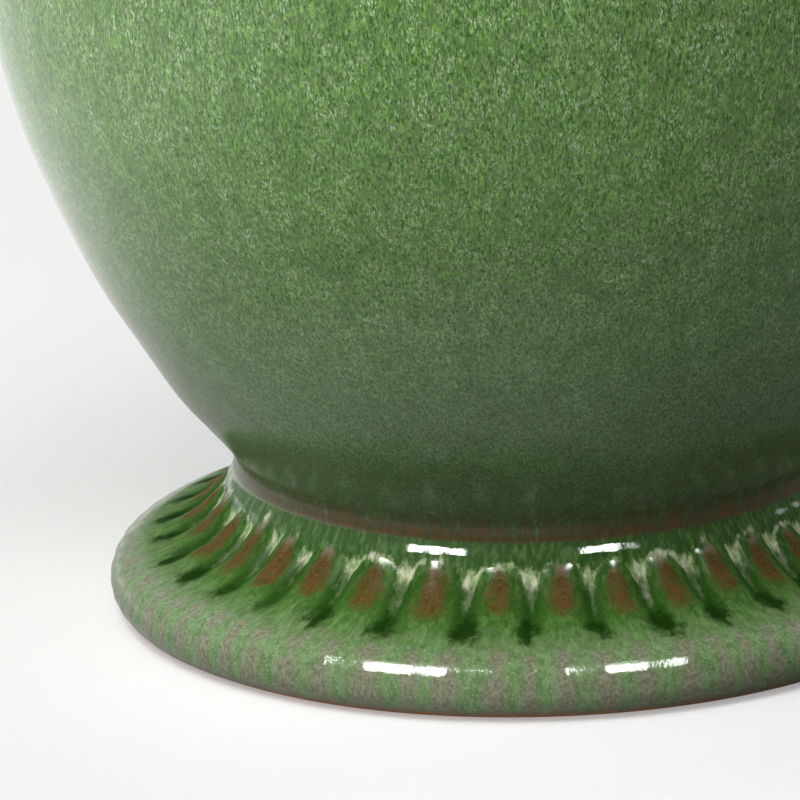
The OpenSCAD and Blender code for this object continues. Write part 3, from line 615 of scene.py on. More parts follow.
    def flow(a, b, off, detail, rough, color=False):
        """Noise drawn out along the way the glaze ran, a per radian across and b per step down."""
        return m.noise(m.comb(m.mul(cx, a), m.mul(cy, a), m.add(m.mul(fs, b), off)), 1.0, detail, rough, color=color)
    fm = sep(flow(62.0, 7.5, 0.0, 5.0, 0.66, True))
    fmot = fm[0]
    fsw = m.add(fs, m.rng(mid[0], 0.3, 0.7, -0.05, 0.05))
    fpos = m.rng(fsw, -0.25, 1.25)
    fgreen = m.ramp(fpos, [
        (0.00, (0.046, 0.125, 0.022)), (0.17, (0.036, 0.110, 0.014)), (0.45, (0.036, 0.108, 0.014)),
        (0.66, (0.058, 0.150, 0.026)), (0.80, (0.098, 0.205, 0.058)), (0.90, (0.120, 0.205, 0.080)), (1.00, (0.110, 0.180, 0.072))])
    fpale = m.ramp(fpos, [
        (0.00, (0.130, 0.260, 0.070)), (0.45, (0.110, 0.240, 0.050)), (0.70, (0.155, 0.300, 0.080)),
        (0.84, (0.215, 0.345, 0.135)), (1.00, (0.260, 0.380, 0.170))])
    fcol = m.mix(m.rng(fmot, 0.42, 0.66, 0.0, 0.80, True), fgreen, fpale)
    fcol = m.mix(m.rng(fm[1], 0.54, 0.66, 0.0, 0.45), fcol, (0.030, 0.078, 0.014))
    fcol = m.mix(m.rng(g1[2], 0.56, 0.68, 0.0, 0.35), fcol, fpale)
    # taupe mist between the lobes and the rim
    mist = m.mul(m.rng(fsw, 0.62, 0.84, 0.0, 1.0, True), m.rng(fm[2], 0.46, 0.62, 0.0, 0.60, True))
    fcol = m.mix(mist, fcol, (0.175, 0.190, 0.115))
    # pale cream high in the grooves, round the lobes' upper outlines and on their crowns: partly pale curdled glaze,
    # partly painted highlight standing in for the lights' reflection on the groove walls and crowns
    curd = flow(44.0, 6.0, 9.0, 5.0, 0.70)
    cream_glaze_and_highlight = m.mix(m.rng(m.add(m.mul(fm[1], 0.5), m.mul(mid[1], 0.5)), 0.42, 0.58, 0.0, 1.0), (0.26, 0.40, 0.14), (0.74, 0.76, 0.54))
    pmix = m.rng(m.add(m.mul(pale, 0.95), m.add(m.rng(curd, 0.3, 0.7, -0.62, 0.55), m.rng(mid[2], 0.3, 0.7, -0.22, 0.22))), 0.22, 1.05, 0.0, 0.98, True)
    fcol = m.mix(m.mul(pmix, m.rng(pale, 0.05, 0.30, 0.0, 1.0)), fcol, cream_glaze_and_highlight)
    # dark pools at the lower ends of the grooves
    pmask = m.rng(m.add(pool, m.rng(m.noise(m.scaled((420.0, 420.0, 420.0)), 1.0, 3.0, 0.62), 0.3, 0.7, -0.28, 0.28)), 0.18, 0.80, 0.0, 1.0, True)
    vm = m.rng(m.add(valley, m.rng(fmot, 0.3, 0.7, -0.30, 0.30)), 0.12, 0.95, 0.0, 0.80, True)
    fcol = m.mix(m.mul(vm, m.rng(valley, 0.02, 0.2, 0.0, 1.0)), fcol, (0.018, 0.070, 0.006))
    fcol = m.mix(m.mul(pmask, 0.92), fcol, (0.008, 0.036, 0.003))
    # brown crests with fine arches
    arcw = m.add(arc, m.add(m.rng(fmot, 0.3, 0.7, -0.013, 0.013), m.rng(mid[1], 0.3, 0.7, -0.02, 0.02)))
    arcs = m.rng(m.math("SINE", m.mul(arcw, TAU / 0.078)), -0.7, 0.9, 0.0, 1.0)
    arcs2 = m.rng(m.math("SINE", m.mul(arcw, TAU / 0.078)), 0.55, 1.0, 0.0, 1.0)
    cbrown = m.mix(m.rng(fmot, 0.38, 0.62, 0.0, 1.0), (0.175, 0.088, 0.024), (0.090, 0.054, 0.014))
    cbrown = m.mix(m.rng(fm[2], 0.54, 0.66, 0.0, 0.50), cbrown, (0.070, 0.098, 0.028))
    fade = m.rng(fs, 0.02, 0.62, 1.0, 0.35)
    cbrown = m.mix(m.mul(m.mul(arcs, fade), 0.45), cbrown, (0.064, 0.030, 0.010))
    cbrown = m.mix(m.mul(m.mul(arcs2, fade), m.rng(curd, 0.42, 0.60, 0.05, 0.50)), cbrown, (0.320, 0.240, 0.150))
    # painted reflection: each crest's upper end paled towards cream, where the crown catches the light
    cbrown = m.mix(m.rng(m.add(fs, m.rng(fmot, 0.3, 0.7, -0.03, 0.03)), 0.02, 0.20, 0.50, 0.0, True), cbrown, (0.420, 0.390, 0.300))
    cm = m.rng(m.add(crest, m.add(m.rng(fmot, 0.3, 0.7, -0.28, 0.28), m.rng(mid[2], 0.3, 0.7, -0.18, 0.18))), 0.22, 0.88, 0.0, 1.0, True)
    fcol = m.mix(m.mul(cm, 0.95), fcol, cbrown)
    # rim: hollows green, ridges and the upper edge taupe, finely curdled
    rmot = m.noise(m.scaled((1500.0, 1500.0, 1100.0)), 1.0, 3.0, 0.72)
    ridge = m.add(rim, m.rng(m.noise(m.scaled((240.0, 240.0, 190.0)), 1.0, 4.0, 0.62), 0.3, 0.7, -0.40, 0.40))
    topb = m.mul(m.rng(fsw, 1.02, 1.12, 0.0, 1.0, True), m.rng(fsw, 1.16, 1.40, 1.0, 0.0, True))
    botb = m.rng(fsw, 1.30, 1.44, 0.0, 0.50, True)
    rm = m.rng(m.add(ridge, m.add(m.mul(topb, 0.50), botb)), 0.46, 1.34, 0.0, 1.0, True)
    rzone = m.rng(fsw, 0.96, 1.12, 0.0, 1.0, True)
    rgreen = m.mix(m.rng(mid[0], 0.38, 0.62, 0.0, 1.0), (0.105, 0.205, 0.066), (0.190, 0.300, 0.130))
    speck = m.voro(m.scaled((1900.0, 1900.0, 1900.0)), 1.0, "F1", 1.0)
    dots = m.mul(m.rng(speck, 0.20, 0.55, 1.0, 0.0, True), m.rng(m.add(m.mul(mid[2], 0.5), m.mul(rmot, 0.5)), 0.40, 0.56, 0.10, 1.0))
    rgreen = m.mix(m.mul(dots, 0.62), rgreen, (0.330, 0.450, 0.250))
    rtaupe = m.mix(m.rng(rmot, 0.40, 0.62, 0.0, 1.0), (0.165, 0.140, 0.092), (0.300, 0.295, 0.220))
    rtaupe = m.mix(m.mul(dots, 0.40), rtaupe, (0.300, 0.300, 0.220))
    rcol = m.mix(m.mul(rm, 0.80), rgreen, rtaupe)
    fcol = m.mix(m.mul(rzone, 0.94), fcol, rcol)
    col = m.mix(foot, col, fcol)

    # bare clay at the very bottom, inside and under the foot
    cl = m.noise(m.scaled((1200.0, 1200.0, 1200.0)), 1.0, 4.0, 0.65)
    clay = m.mix(m.rng(cl, 0.35, 0.65, 0.0, 1.0), (0.330, 0.135, 0.062), (0.480, 0.235, 0.130))
    edge = m.rng(m.add(zmm, m.rng(m.noise(m.scaled((300.0, 300.0, 200.0)), 1.0, 2.0, 0.5), 0.3, 0.7, -0.35, 0.35)), 1.0, 1.45, 1.0, 0.0, True)
    cmask = m.math("MAXIMUM", edge, bare)
    halo = m.mul(m.rng(zmm, 1.0, 3.2, 1.0, 0.0, True), m.rng(rmot, 0.35, 0.6, 0.35, 0.85))
    col = m.mix(m.mul(halo, foot), col, (0.115, 0.080, 0.042))
    col = m.mix(cmask, col, clay)

    # relief: crystals stand a little proud, and the glaze has a soft orange-peel
    peel = m.noise(m.scaled(210.0), 1.0, 2.0, 0.5)
    grain = m.add(m.mul(g1[2], 0.6), m.mul(g2[1], 0.4))
    rgrain = m.mix(rzone, m.mul(grain, 0.55), m.add(grain, m.mul(rmot, 0.8)))
    b1 = m.bump(m.mix(foot, grain, rgrain), 0.00013, 0.55)
    b1 = m.bump(peel, 0.00014, 0.35, b1)
    bclay = m.bump(cl, 0.0002, 0.8)
    nrm = m.node("ShaderNodeMix", data_type="VECTOR")
    m.put(nrm.inputs[0], cmask)
    m.put(nrm.inputs[4], b1)
    m.put(nrm.inputs[5], bclay)
    nout = nrm.outputs[1]
    coatn = m.bump(m.mix(foot, m.mul(grain, 1.6), m.mul(rgrain, 1.25)), 0.000045, 0.60)
    coatn = m.bump(peel, 0.00012, 0.35, coatn)
    rough = m.rng(g1[0], 0.3, 0.7, 0.42, 0.56)
    rough = m.mix(foot, rough, m.rng(fmot, 0.3, 0.7, 0.30, 0.42))
    rough = m.mix(cmask, rough, (0.85, 0.85, 0.85))
    lobes = m.mul(m.rng(fs, 0.0, 0.12, 0.0, 1.0, True), m.rng(fs, 0.92, 1.08, 1.0, 0.0, True))
    shine = m.mix(foot, m.rng(band, 0.0, 1.0, 0.85, 0.95), m.rng(lobes, 0.0, 1.0, 1.0, 0.02))
    coat = m.mul(m.math("SUBTRACT", 1.0, cmask), shine)
    crough = m.add(m.rng(rmot, 0.3, 0.7, 0.05, 0.10), m.mul(m.mul(lobes, foot), 0.12))
    m.bsdf(color=col, rough=rough, spec=m.rng(foot, 0.0, 1.0, 0.15, 0.006), coat=coat, coat_rough=crough,
           coat_ior=1.46, normal=nout, coat_normal=coatn)
    return m


def metal(name, color, rough=(0.2, 0.36), tarnish=(0.30, 0.20, 0.10), tarnish_k=0.35, lines=0.0, scale=1.0, bump=0.00004):
    """Lacquered or plated metal: lathe lines, dull patches, and darker grime in soft patches."""
    m = Mat(name)
    patches = m.noise(m.scaled(55.0 * scale), 1.0, 5.0, 0.6)
    fine = m.noise(m.scaled(900.0 * scale), 1.0, 3.0, 0.6)
    scr = m.noise(m.scaled((300.0, 300.0, 4200.0)), 1.0, 2.0, 0.5)
    col = m.mix(m.rng(patches, 0.40, 0.72, 0.0, tarnish_k), color, tarnish)
    col = m.mix(m.rng(fine, 0.58, 0.75, 0.0, 0.22), col, tuple(c * 0.55 for c in color))
    rg = m.rng(patches, 0.32, 0.68, rough[0], rough[1])
    rg = m.add(rg, m.rng(fine, 0.3, 0.7, -0.04, 0.06))
    h = m.add(m.mul(fine, 0.5), m.mul(scr, lines))
    n = m.bump(h, bump, 0.5)
    m.bsdf(color=col, metal=1.0, rough=rg, normal=n, coat=0.15, coat_rough=0.12)
    return m


def plastic(name, c1, c2, rough=(0.22, 0.4), scale=60.0, bump=0.00003, coat=0.2, fine=1400.0):
    m = Mat(name)
    sw = m.noise(m.scaled(scale), 1.0, 4.0, 0.6, 0.8)
    fn = m.noise(m.scaled(fine), 1.0, 3.0, 0.6)
    col = m.mix(m.rng(sw, 0.35, 0.65, 0.0, 1.0), c1, c2)
    col = m.mix(m.rng(fn, 0.6, 0.78, 0.0, 0.25), col, tuple(min(1, c * 2.2 + 0.02) for c in c2))
    rg = m.add(m.rng(sw, 0.3, 0.7, rough[0], rough[1]), m.rng(fn, 0.3, 0.7, -0.03, 0.05))
    m.bsdf(color=col, rough=rg, coat=coat, coat_rough=0.2, normal=m.bump(fn, bump, 0.5))
    return m


def felt_material():
    m = Mat("felt")
    f = m.noise(m.scaled(1600.0), 1.0, 6.0, 0.75, 1.5)
    g = m.noise(m.scaled(90.0), 1.0, 3.0, 0.5)
    col = m.mix(m.rng(f, 0.3, 0.7, 0.0, 1.0), (0.018, 0.040, 0.020), (0.060, 0.105, 0.055))
    col = m.mix(m.rng(g, 0.4, 0.75, 0.0, 0.35), col, (0.10, 0.12, 0.08))
    m.bsdf(color=col, rough=0.95, sheen=0.6, sheen_rough=0.5, spec=0.1, normal=m.bump(f, 0.0004, 0.8))
    return m


def weave(m, uv, pu, pv, seed=0.0):
    """Plain weave from a uv map in metres: (height, thread colour noise, slub)."""
    s = m.xyz(uv)
    su = m.noise(m.comb(m.mul(s[0], 14.0), m.mul(s[1], 900.0), seed), 1.0, 2.0, 0.6)
    sv = m.noise(m.comb(m.mul(s[0], 900.0), m.mul(s[1], 14.0), seed + 7.0), 1.0, 2.0, 0.6)
    wob = m.mul(m.rng(su, 0.3, 0.7, -0.32, 0.32), 1.0)
    wob2 = m.mul(m.rng(sv, 0.3, 0.7, -0.32, 0.32), 1.0)
    a = m.add(m.math("DIVIDE", s[0], pu), wob2)
    b = m.add(m.math("DIVIDE", s[1], pv), wob)
    wu = m.math("ABSOLUTE", m.math("SINE", m.mul(a, PI)))
    wv = m.math("ABSOLUTE", m.math("SINE", m.mul(b, PI)))
    par = m.math("MODULO", m.add(m.math("FLOOR", a), m.math("FLOOR", b)), 2.0)
    par = m.math("ABSOLUTE", par)
    over = m.mul(m.math("POWER", wu, 0.6), m.rng(wv, 0.0, 1.0, 0.45, 1.0))
    under = m.mul(m.math("POWER", wv, 0.6), m.rng(wu, 0.0, 1.0, 0.45, 1.0))
    h = m.node("ShaderNodeMix", data_type="FLOAT")
    m.put(h.inputs[0], par)
    m.put(h.inputs[2], over)
    m.put(h.inputs[3], under)
    tone = m.node("ShaderNodeMix", data_type="FLOAT")
    m.put(tone.inputs[0], par)
    m.put(tone.inputs[2], sv)
    m.put(tone.inputs[3], su)
    return h.outputs[0], tone.outputs[0], m.math("MAXIMUM", su, sv)


def linen(name, dark, mid, light, pu, pv, bump=0.00022):
    m = Mat(name)
    uvn = m.node("ShaderNodeUVMap")
    uvn.uv_map = "weave"
    uv = uvn.outputs[0]
    h, tone, slub = weave(m, uv, pu, pv)
    fib = m.noise(m.scaled(3200.0), 1.0, 3.0, 0.7)
    age = m.noise(m.scaled(16.0), 1.0, 4.0, 0.6)
    col = m.mix(m.rng(tone, 0.28, 0.72, 0.0, 1.0), mid, light)
    # painted shade: the weave's low points, between the threads, are darkened
    col = m.mix(m.rng(h, 0.0, 0.55, 0.85, 0.0), col, dark)
    col = m.mix(m.rng(slub, 0.60, 0.78, 0.0, 0.55), col, light)
    col = m.mix(m.rng(fib, 0.5, 0.8, 0.0, 0.28), col, dark)
    col = m.mix(m.rng(age, 0.45, 0.8, 0.0, 0.22), col, (0.52, 0.42, 0.26))
    hh = m.add(h, m.add(m.rng(slub, 0.55, 0.8, 0.0, 0.9), m.mul(fib, 0.25)))
    m.bsdf(color=col, rough=0.86, spec=0.22, sheen=0.30, sheen_rough=0.45, normal=m.bump(hh, bump, 0.85))
    return m


def lining_material():
    m = Mat("shade_lining")
    f = m.noise(m.scaled(420.0), 1.0, 4.0, 0.6)
    g = m.noise(m.scaled(24.0), 1.0, 3.0, 0.5)
    col = m.mix(m.rng(g, 0.35, 0.75, 0.0, 0.5), (0.80, 0.77, 0.69), (0.72, 0.65, 0.50))
    m.bsdf(color=col, rough=m.rng(f, 0.3, 0.7, 0.5, 0.7), spec=0.35, normal=m.bump(f, 0.00006, 0.6))
    return m


def bulb_material():
    m = Mat("bulb_white")
    f = m.noise(m.scaled(2400.0), 1.0, 3.0, 0.6)
    z = m.xyz()[2]
    g = m.rng(z, (BULB_Z + 20) * MM, (BULB_Z + 52) * MM, 0.0, 1.0, True)
    col = m.mix(g, (0.72, 0.71, 0.66), (0.88, 0.87, 0.82))
    m.bsdf(color=col, rough=m.rng(f, 0.3, 0.7, 0.20, 0.30), trans=0.30, ior=1.3, coat=0.7, coat_rough=0.06,
           normal=m.bump(f, 0.00001, 0.4), spec=0.5)
    return m


def clear_glass():
    m = Mat("clear_glass")
    f = m.noise(m.scaled(300.0), 1.0, 2.0, 0.5)
    m.bsdf(color=m.mix(f, (0.85, 0.90, 0.90), (0.93, 0.96, 0.96)), rough=m.rng(f, 0.3, 0.7, 0.02, 0.08),
           trans=0.95, ior=1.5, normal=m.bump(f, 0.00005, 0.3))
    return m


GLAZE = glaze_material()
FELT = felt_material()
RUBBER = plastic("black_rubber", (0.016, 0.016, 0.016), (0.035, 0.034, 0.032), (0.5, 0.7), 90.0, 0.00006, 0.0)
STEEL = metal("plated_steel", (0.56, 0.55, 0.52), (0.30, 0.48), (0.30, 0.26, 0.20), 0.40, 0.4)
BRASS_CAP = metal("brass_cap", (0.80, 0.58, 0.27), (0.17, 0.30), (0.42, 0.27, 0.11), 0.45, 0.9)
BRASS_HARP = metal("brass_harp", (0.76, 0.57, 0.29), (0.20, 0.36), (0.40, 0.28, 0.13), 0.45, 0.3)
BRASS_SOCK = metal("brass_socket", (0.82, 0.61, 0.30), (0.22, 0.38), (0.45, 0.30, 0.13), 0.40, 1.0)
CONTACT = metal("contact_metal", (0.82, 0.70, 0.42), (0.22, 0.34), (0.45, 0.33, 0.16), 0.3, 0.2)
BULB_METAL = metal("bulb_metal", (0.78, 0.77, 0.72), (0.22, 0.36), (0.45, 0.42, 0.34), 0.35, 0.3)
TUNGSTEN = metal("tungsten", (0.30, 0.30, 0.31), (0.35, 0.5), (0.18, 0.17, 0.17), 0.3, 0.0)
SHADE_WIRE = metal("shade_wire", (0.74, 0.56, 0.29), (0.25, 0.40), (0.38, 0.27, 0.13), 0.45, 0.2)
FINIAL_BRASS = metal("finial_brass", (0.83, 0.60, 0.28), (0.14, 0.28), (0.42, 0.26, 0.10), 0.45, 0.8)
BLADE = metal("blade_brass", (0.84, 0.68, 0.38), (0.24, 0.38), (0.48, 0.34, 0.16), 0.35, 0.3)
FIBRE = plastic("fibre", (0.23, 0.12, 0.05), (0.34, 0.20, 0.10), (0.6, 0.8), 700.0, 0.00008, 0.0)
PHENOLIC = plastic("phenolic", (0.018, 0.008, 0.005), (0.045, 0.020, 0.011), (0.25, 0.42), 120.0, 0.00003, 0.15)
LEAD = plastic("lead_insulation", (0.03, 0.026, 0.022), (0.06, 0.05, 0.04), (0.4, 0.55), 160.0, 0.00004, 0.0)
KEY = plastic("key_plastic", (0.014, 0.008, 0.006), (0.034, 0.018, 0.012), (0.16, 0.30), 150.0, 0.00002, 0.5)
BLACK_GLASS = plastic("black_glass", (0.006, 0.006, 0.010), (0.014, 0.014, 0.022), (0.06, 0.14), 80.0, 0.00001, 0.6)
VINYL = plastic("cord_vinyl", (0.070, 0.034, 0.014), (0.125, 0.066, 0.028), (0.24, 0.38), 45.0, 0.00004, 0.25, 900.0)
BULB = bulb_material()
CLEAR = clear_glass()
LINEN = linen("shade_linen", (0.30, 0.24, 0.15), (0.60, 0.53, 0.39), (0.80, 0.74, 0.60), 0.00105, 0.00098)
BINDING = linen("shade_binding", (0.26, 0.20, 0.12), (0.52, 0.44, 0.30), (0.70, 0.62, 0.46), 0.00078, 0.00078, 0.00016)
LINING = lining_material()


# =====================================================================
# the jar
# =====================================================================
def make_jar():
    fr, wr, br, jh = 77.3, 54.4, BELLY_R, LIP_Z
    bz = jh / 238.0
    st = [(fr * 0.953, 0), (fr * 0.976, 1.1), (fr * 0.998, 3.6), (fr * 0.999, 6.4), (75.9, 9.1),
          (73.4, 10.8), (71.2, 11.7), (68.6, 12.65), (64.9, 14.0), (61.6, 15.6), (58.7, 17.7), (56.3, 20.2),
          (54.75, 23.4), (54.25, 26.4), (54.9, 29.4), (56.5, 31.9), (58.7, 34.5), (61.5, 37.8), (65.2, 42.3),
          (br - 25.2, 51.3 * bz), (br - 18.2, 63 * bz), (br - 11.6, 77.4 * bz), (br - 5.6, 93.6 * bz),
          (br - 1.6, 111.6 * bz), (br, 133 * bz), (br - 2.2, 153 * bz), (br - 8.4, 171 * bz),
          (br - 18.6, 187 * bz), (br - 32, 200 * bz), (br - 47, 210 * bz), (36.5, jh - 21),
          (31, jh - 15.5), (29.4, jh - 10.5), (30.6, jh - 6), (32.4, jh - 3.2), (32.2, jh - 1.2), (30.4, jh)]
    prof = catmull(st, 24)
    foot_end = np.argmax(prof[:, 1] > 31.0)
    footp = resample(prof[:foot_end + 1], 0.52)
    bellyp = resample(prof[foot_end:], 2.9)[1:]

    # lobes round the foot: crests a little unevenly spaced, as cut by hand
    r = np.random.RandomState(21)
    N = 36
    crest_deg = [-31.2, -18.6, -7.6, 2.6, 12.0, 21.2, 30.9, 39.6]
    rest = np.linspace(39.6, 360 - 31.2, N - len(crest_deg) + 2)[1:-1] + r.uniform(-0.9, 0.9, N - len(crest_deg))
    crests = np.radians(np.array(crest_deg + list(rest)) - 90.0)
    valleys = (crests + np.roll(crests, -1)) / 2
    valleys[-1] = (crests[-1] + crests[0] + TAU) / 2
    valleys = np.r_[valleys[-1] - TAU, valleys]
    amp = 1 + r.uniform(-0.16, 0.16, N)
    tshift = r.uniform(-0.05, 0.06, N)
    bshift = r.uniform(-0.06, 0.07, N)
    cstr = r.uniform(0.75, 1.1, N)
    pstr = r.uniform(0.55, 1.15, N)
    capk = np.random.RandomState(77).uniform(0.15, 1.25, N)
    skew = smooth_noise(3, 7, 2, 13, math.radians(1.1))
    wob_r = smooth_noise(5, 5, 1, 4, 0.16)
    wob_z = smooth_noise(6, 5, 1, 5, 0.13)
    roll_n = smooth_noise(8, 12, 18, 70, 0.32)
    rim_n = smooth_noise(9, 9, 6, 30, 0.35)
    rimj = smooth_noise(10, 8, 9, 31, 0.30)

    def locate(th, s):
        t = th - (s - 0.5) * skew(th)
        t = (t - valleys[0]) % TAU + valleys[0]
        i = np.clip(np.searchsorted(valleys, t, side="right") - 1, 0, N - 1)
        u = (t - valleys[i]) / (valleys[i + 1] - valleys[i]) - 0.5
        return i, u

    V, idx, att = [], [], {k: [] for k in ("crest", "pool", "valley", "pale", "rim", "fs", "arc", "bare")}
    count = 0

    def add_ring(n, rr, zz, **a):
        nonlocal count
        th = np.arange(n) * TAU / n
        rr = np.broadcast_to(rr, (n,))
        zz = np.broadcast_to(zz, (n,))
        V.append(np.stack([rr * np.cos(th), rr * np.sin(th), zz], 1))
        idx.append(count + np.arange(n))
        count += n
        for k in att:
            att[k].append(np.broadcast_to(np.asarray(a.get(k, 0.0), float), (n,)))

    NF, NB, NI = 864, 288, 144
    # underside ring, coarse
    for rr, zz in [(66.0, 0.35), (66.4, 0.0), (69.5, 0.0), (72.4, 0.0)]:
        add_ring(NB, rr, zz, bare=1.0, fs=1.5)
    # the foot, fine
    T = np.gradient(footp, axis=0)
    T /= np.linalg.norm(T, axis=1)[:, None]
    NRM = np.stack([T[:, 1], -T[:, 0]], 1)
    th = np.arange(NF) * TAU / NF
    for (rr, zz), nn in zip(footp, NRM):
        low = zz < 27.2
        s = -0.3
        if low:
            # down the foot as the eye sees it, 0 under the collar, 1 at the top of the rim
            s = float(np.interp((0.2756 * rr - 0.961 * zz + 6.05) / 14.32,
                                [-0.356, -0.128, 0, 0.246, 0.653, 0.82, 1, 1.049, 1.274, 1.40],
                                [-0.196, -0.077, 0, 0.189, 0.566, 0.77, 1, 1.056, 1.336, 1.45]))
        i, u = locate(th, min(max(s, -0.2), 1.2))
        au = np.abs(u)
        if low and s < 1.3:
            L = 0.36
            tp = tshift[i] - 0.06
            q = (2 * au / 0.985) ** 2.1
            qa = np.clip((tp + L - s) / L, 0, None) ** 2.0
            e = np.clip(1 - (q + qa), 0, 1)
            h = e ** 0.78
            h = (h ** 5 + 0.15 ** 5) ** (1 / 5.0)
            fade = 1 - sstep(0.50, 1.00, s - bshift[i])
            W = sstep(-0.04, 0.16, s) * (1 - sstep(0.62, 1.02, s - bshift[i]))
            D = 1.40 * amp[i] * (h * fade * sstep(-0.05, 0.13, s) - 0.58 * W)
            va = np.clip(0.5 - au, 0, 1)
            pool = np.exp(-(va / 0.25) ** 2) * np.exp(-((s - 0.78 - 0.5 * bshift[i]) / 0.21) ** 2) * pstr[i]
            valley = np.exp(-(va / 0.21) ** 2) * sstep(0.10, 0.34, s) * (1 - sstep(0.70, 1.0, s - bshift[i]))
            # pale: cream in the grooves' upper ends (partly pale glaze, partly painted highlight on the groove walls)
            # and a painted highlight round each lobe's upper outline
            pale = np.exp(-(va / (0.09 + 0.07 * (1 - sstep(0.0, 0.45, s)))) ** 2) * sstep(0.02, 0.16, s) * (1 - sstep(0.34, 0.70, s - bshift[i])) * pstr[i] * 1.35
            pale = pale + np.exp(-((e - 0.16) / 0.13) ** 2) * sstep(-0.04, 0.06, s) * (1 - sstep(0.20, 0.38, s)) * 0.85 * pstr[i]
            # painted highlight: a pale spot on each lobe's crown, added to pale
            cap = np.exp(-((s - tp - 0.085) / 0.055) ** 2) * np.exp(-(u / 0.17) ** 2) * capk[i]
            pale = pale + cap
            cw = 0.105 + 0.165 * sstep(0.0, 0.42, s - tp)
            crest = np.exp(-(au / cw) ** 2.6) * sstep(0.02, 0.17, s - tp) * (1 - sstep(0.46, 0.76, s - bshift[i])) * cstr[i]
            arc = s - 2.5 * u * u + 0.011 * i
            D = D + 0.22 * pool
        else:
            D = np.zeros(NF)
            pool = valley = pale = crest = np.zeros(NF)
            arc = np.full(NF, s)
        # soft flutes on the rim, two to a lobe
        wr_ = float(sstep(0.5, 3.0, zz) * (1 - sstep(9.3, 11.6, zz)))
        fl = np.abs(np.sin(TAU * (u + 0.5) + rimj(th)))
        if wr_ > 0 and low:
            D = D - 0.13 * wr_ * (fl ** 0.8 - 0.55) * (1 + rim_n(th))
        rimv = (1 - fl ** 1.6) if low else np.zeros(NF)
        # the rolled edge of thick glaze under the collar
        D = D + 0.62 * float(sstep(25.0, 22.6, zz)) * (1 + 0.35 * roll_n(th)) * float(1 - sstep(0.02, 0.50, s)) * (1 if low else 0)
        # glaze ends just above the resting ring
        D = D - 0.16 * float(1 - sstep(0.7, 1.25, zz))
        k = float(sstep(1.0, 6.0, zz))
        R = rr + nn[0] * D + k * wob_r(th)
        Z = zz + nn[1] * D + k * wob_z(th) * float(1 - sstep(20, 31, zz))
        add_ring(NF, R, np.maximum(Z, 0.0), crest=crest, pool=pool, valley=valley, pale=pale, rim=rimv,
                 fs=(s if low else -0.3), arc=arc)
    # the belly and lip
    thb = np.arange(NB) * TAU / NB
    for rr, zz in bellyp:
        k = float(1 - sstep(200, 225, zz))
        add_ring(NB, rr + wob_r(thb) * k, zz, fs=-0.3)
    lip = catmull([(30.4, jh), (28.5, jh + 0.35), (26.4, jh + 0.1), (25.0, jh - 0.9), (24.6, jh - 3), (24.6, jh - 9)], 3)[1:]
    for rr, zz in lip:
        add_ring(NB, rr, min(zz, jh), fs=-0.3)
    # the inside
    Tp = np.gradient(prof, axis=0)
    Tp /= np.linalg.norm(Tp, axis=1)[:, None]
    ins = prof + 6.0 * np.stack([-Tp[:, 1], Tp[:, 0]], 1)
    ok = (ins[:, 1] > 32.5) & (ins[:, 1] < jh - 17) & (ins[:, 0] > 27)
    inner = resample(ins[ok][::-1], 8.0)
    inner = np.vstack([inner, [(44, 31), (25, 31), (6.5, 31), (6.5, 24), (25, 24), (45.5, 24), (48.5, 21.5),
                               (53.5, 16.6), (58.3, 12), (60.4, 8.2), (62, 5), (62, 2), (66, 2)]])
    for rr, zz in inner:
        add_ring(NI, rr, zz, bare=1.0, fs=-0.3 if zz > 30 else 1.5)
    V = np.vstack(V)
    F = []

    def connect(a, b):
        na, nb = len(a), len(b)
        if na == nb:
            for i in range(na):
                j = (i + 1) % na
                F.append((a[i], a[j], b[j], b[i]))
            return
        if na > nb:
            fine, coarse = a, b
        else:
            fine, coarse = b, a
        k = len(fine) // len(coarse)
        for c in range(len(coarse)):
            f = [fine[(c * k + q) % len(fine)] for q in range(k + 1)]
            c0, c1 = coarse[c], coarse[(c + 1) % len(coarse)]
            mid = k // 2
            for q in range(k):
                F.append((f[q], f[q + 1], c0 if q < mid else c1))
            F.append((f[mid], c1, c0))

    for k in range(len(idx)):
        connect(idx[k], idx[(k + 1) % len(idx)])
    A = {k: np.concatenate(v) for k, v in att.items()}
    o = build("jar_glazed", V, F, "base", "glaze", GLAZE, ["ceramic_body"], attrs=A)
    return o


jar = make_jar()
# the cord's hole at the back of the foot
_V, _F = lathe_vf([(0, 0), (3.55, 0), (3.55, 30), (0, 30)], 48, closed=False)
_V = _V @ np.array(Matrix.Rotation(math.radians(-90), 3, "X")).T + np.array([0, 53.3, 5.5])
HOLE = temp_mesh(_V, _F)
cut(jar, [HOLE])
jar.data.set_sharp_from_angle(angle=math.radians(60))


# =====================================================================
# felt, cord bush, hidden fixings
# =====================================================================
def fuzzy(th, k, r, z, f=smooth_noise(31, 10, 7, 60, 0.10)):
    return r + f(th) * (r > 60), z


lathe("felt_pad", rounded([(0, 0.05), (30, 0.05), (65.6, 0.1, 0.5), (65.6, 1.9, 0.5), (30, 1.95), (0, 1.95)], closed=False),
      180, "base", "felt", FELT, ["felt_disc"], closed=False, disp=fuzzy)
ROT_Y = Matrix.Rotation(math.radians(-90), 3, "X")     # local z to +Y
_f = 77.3
lathe("cord_grommet", rounded([(2.75, _f - 16.2, 0.3), (3.45, _f - 16.2, 0.2), (3.45, _f - 1.5), (3.45, _f + 0.05, 0.1),
                               (4.7, _f + 0.05, 0.2), (4.7, _f + 1.3, 0.5), (3.7, _f + 2.15, 0.3), (2.75, _f + 2.15, 0.35)], seg=4),
      64, "base", "black_rubber", RUBBER, ["cord_bushing"], at=(0, 0, 5.5), rot=ROT_Y)


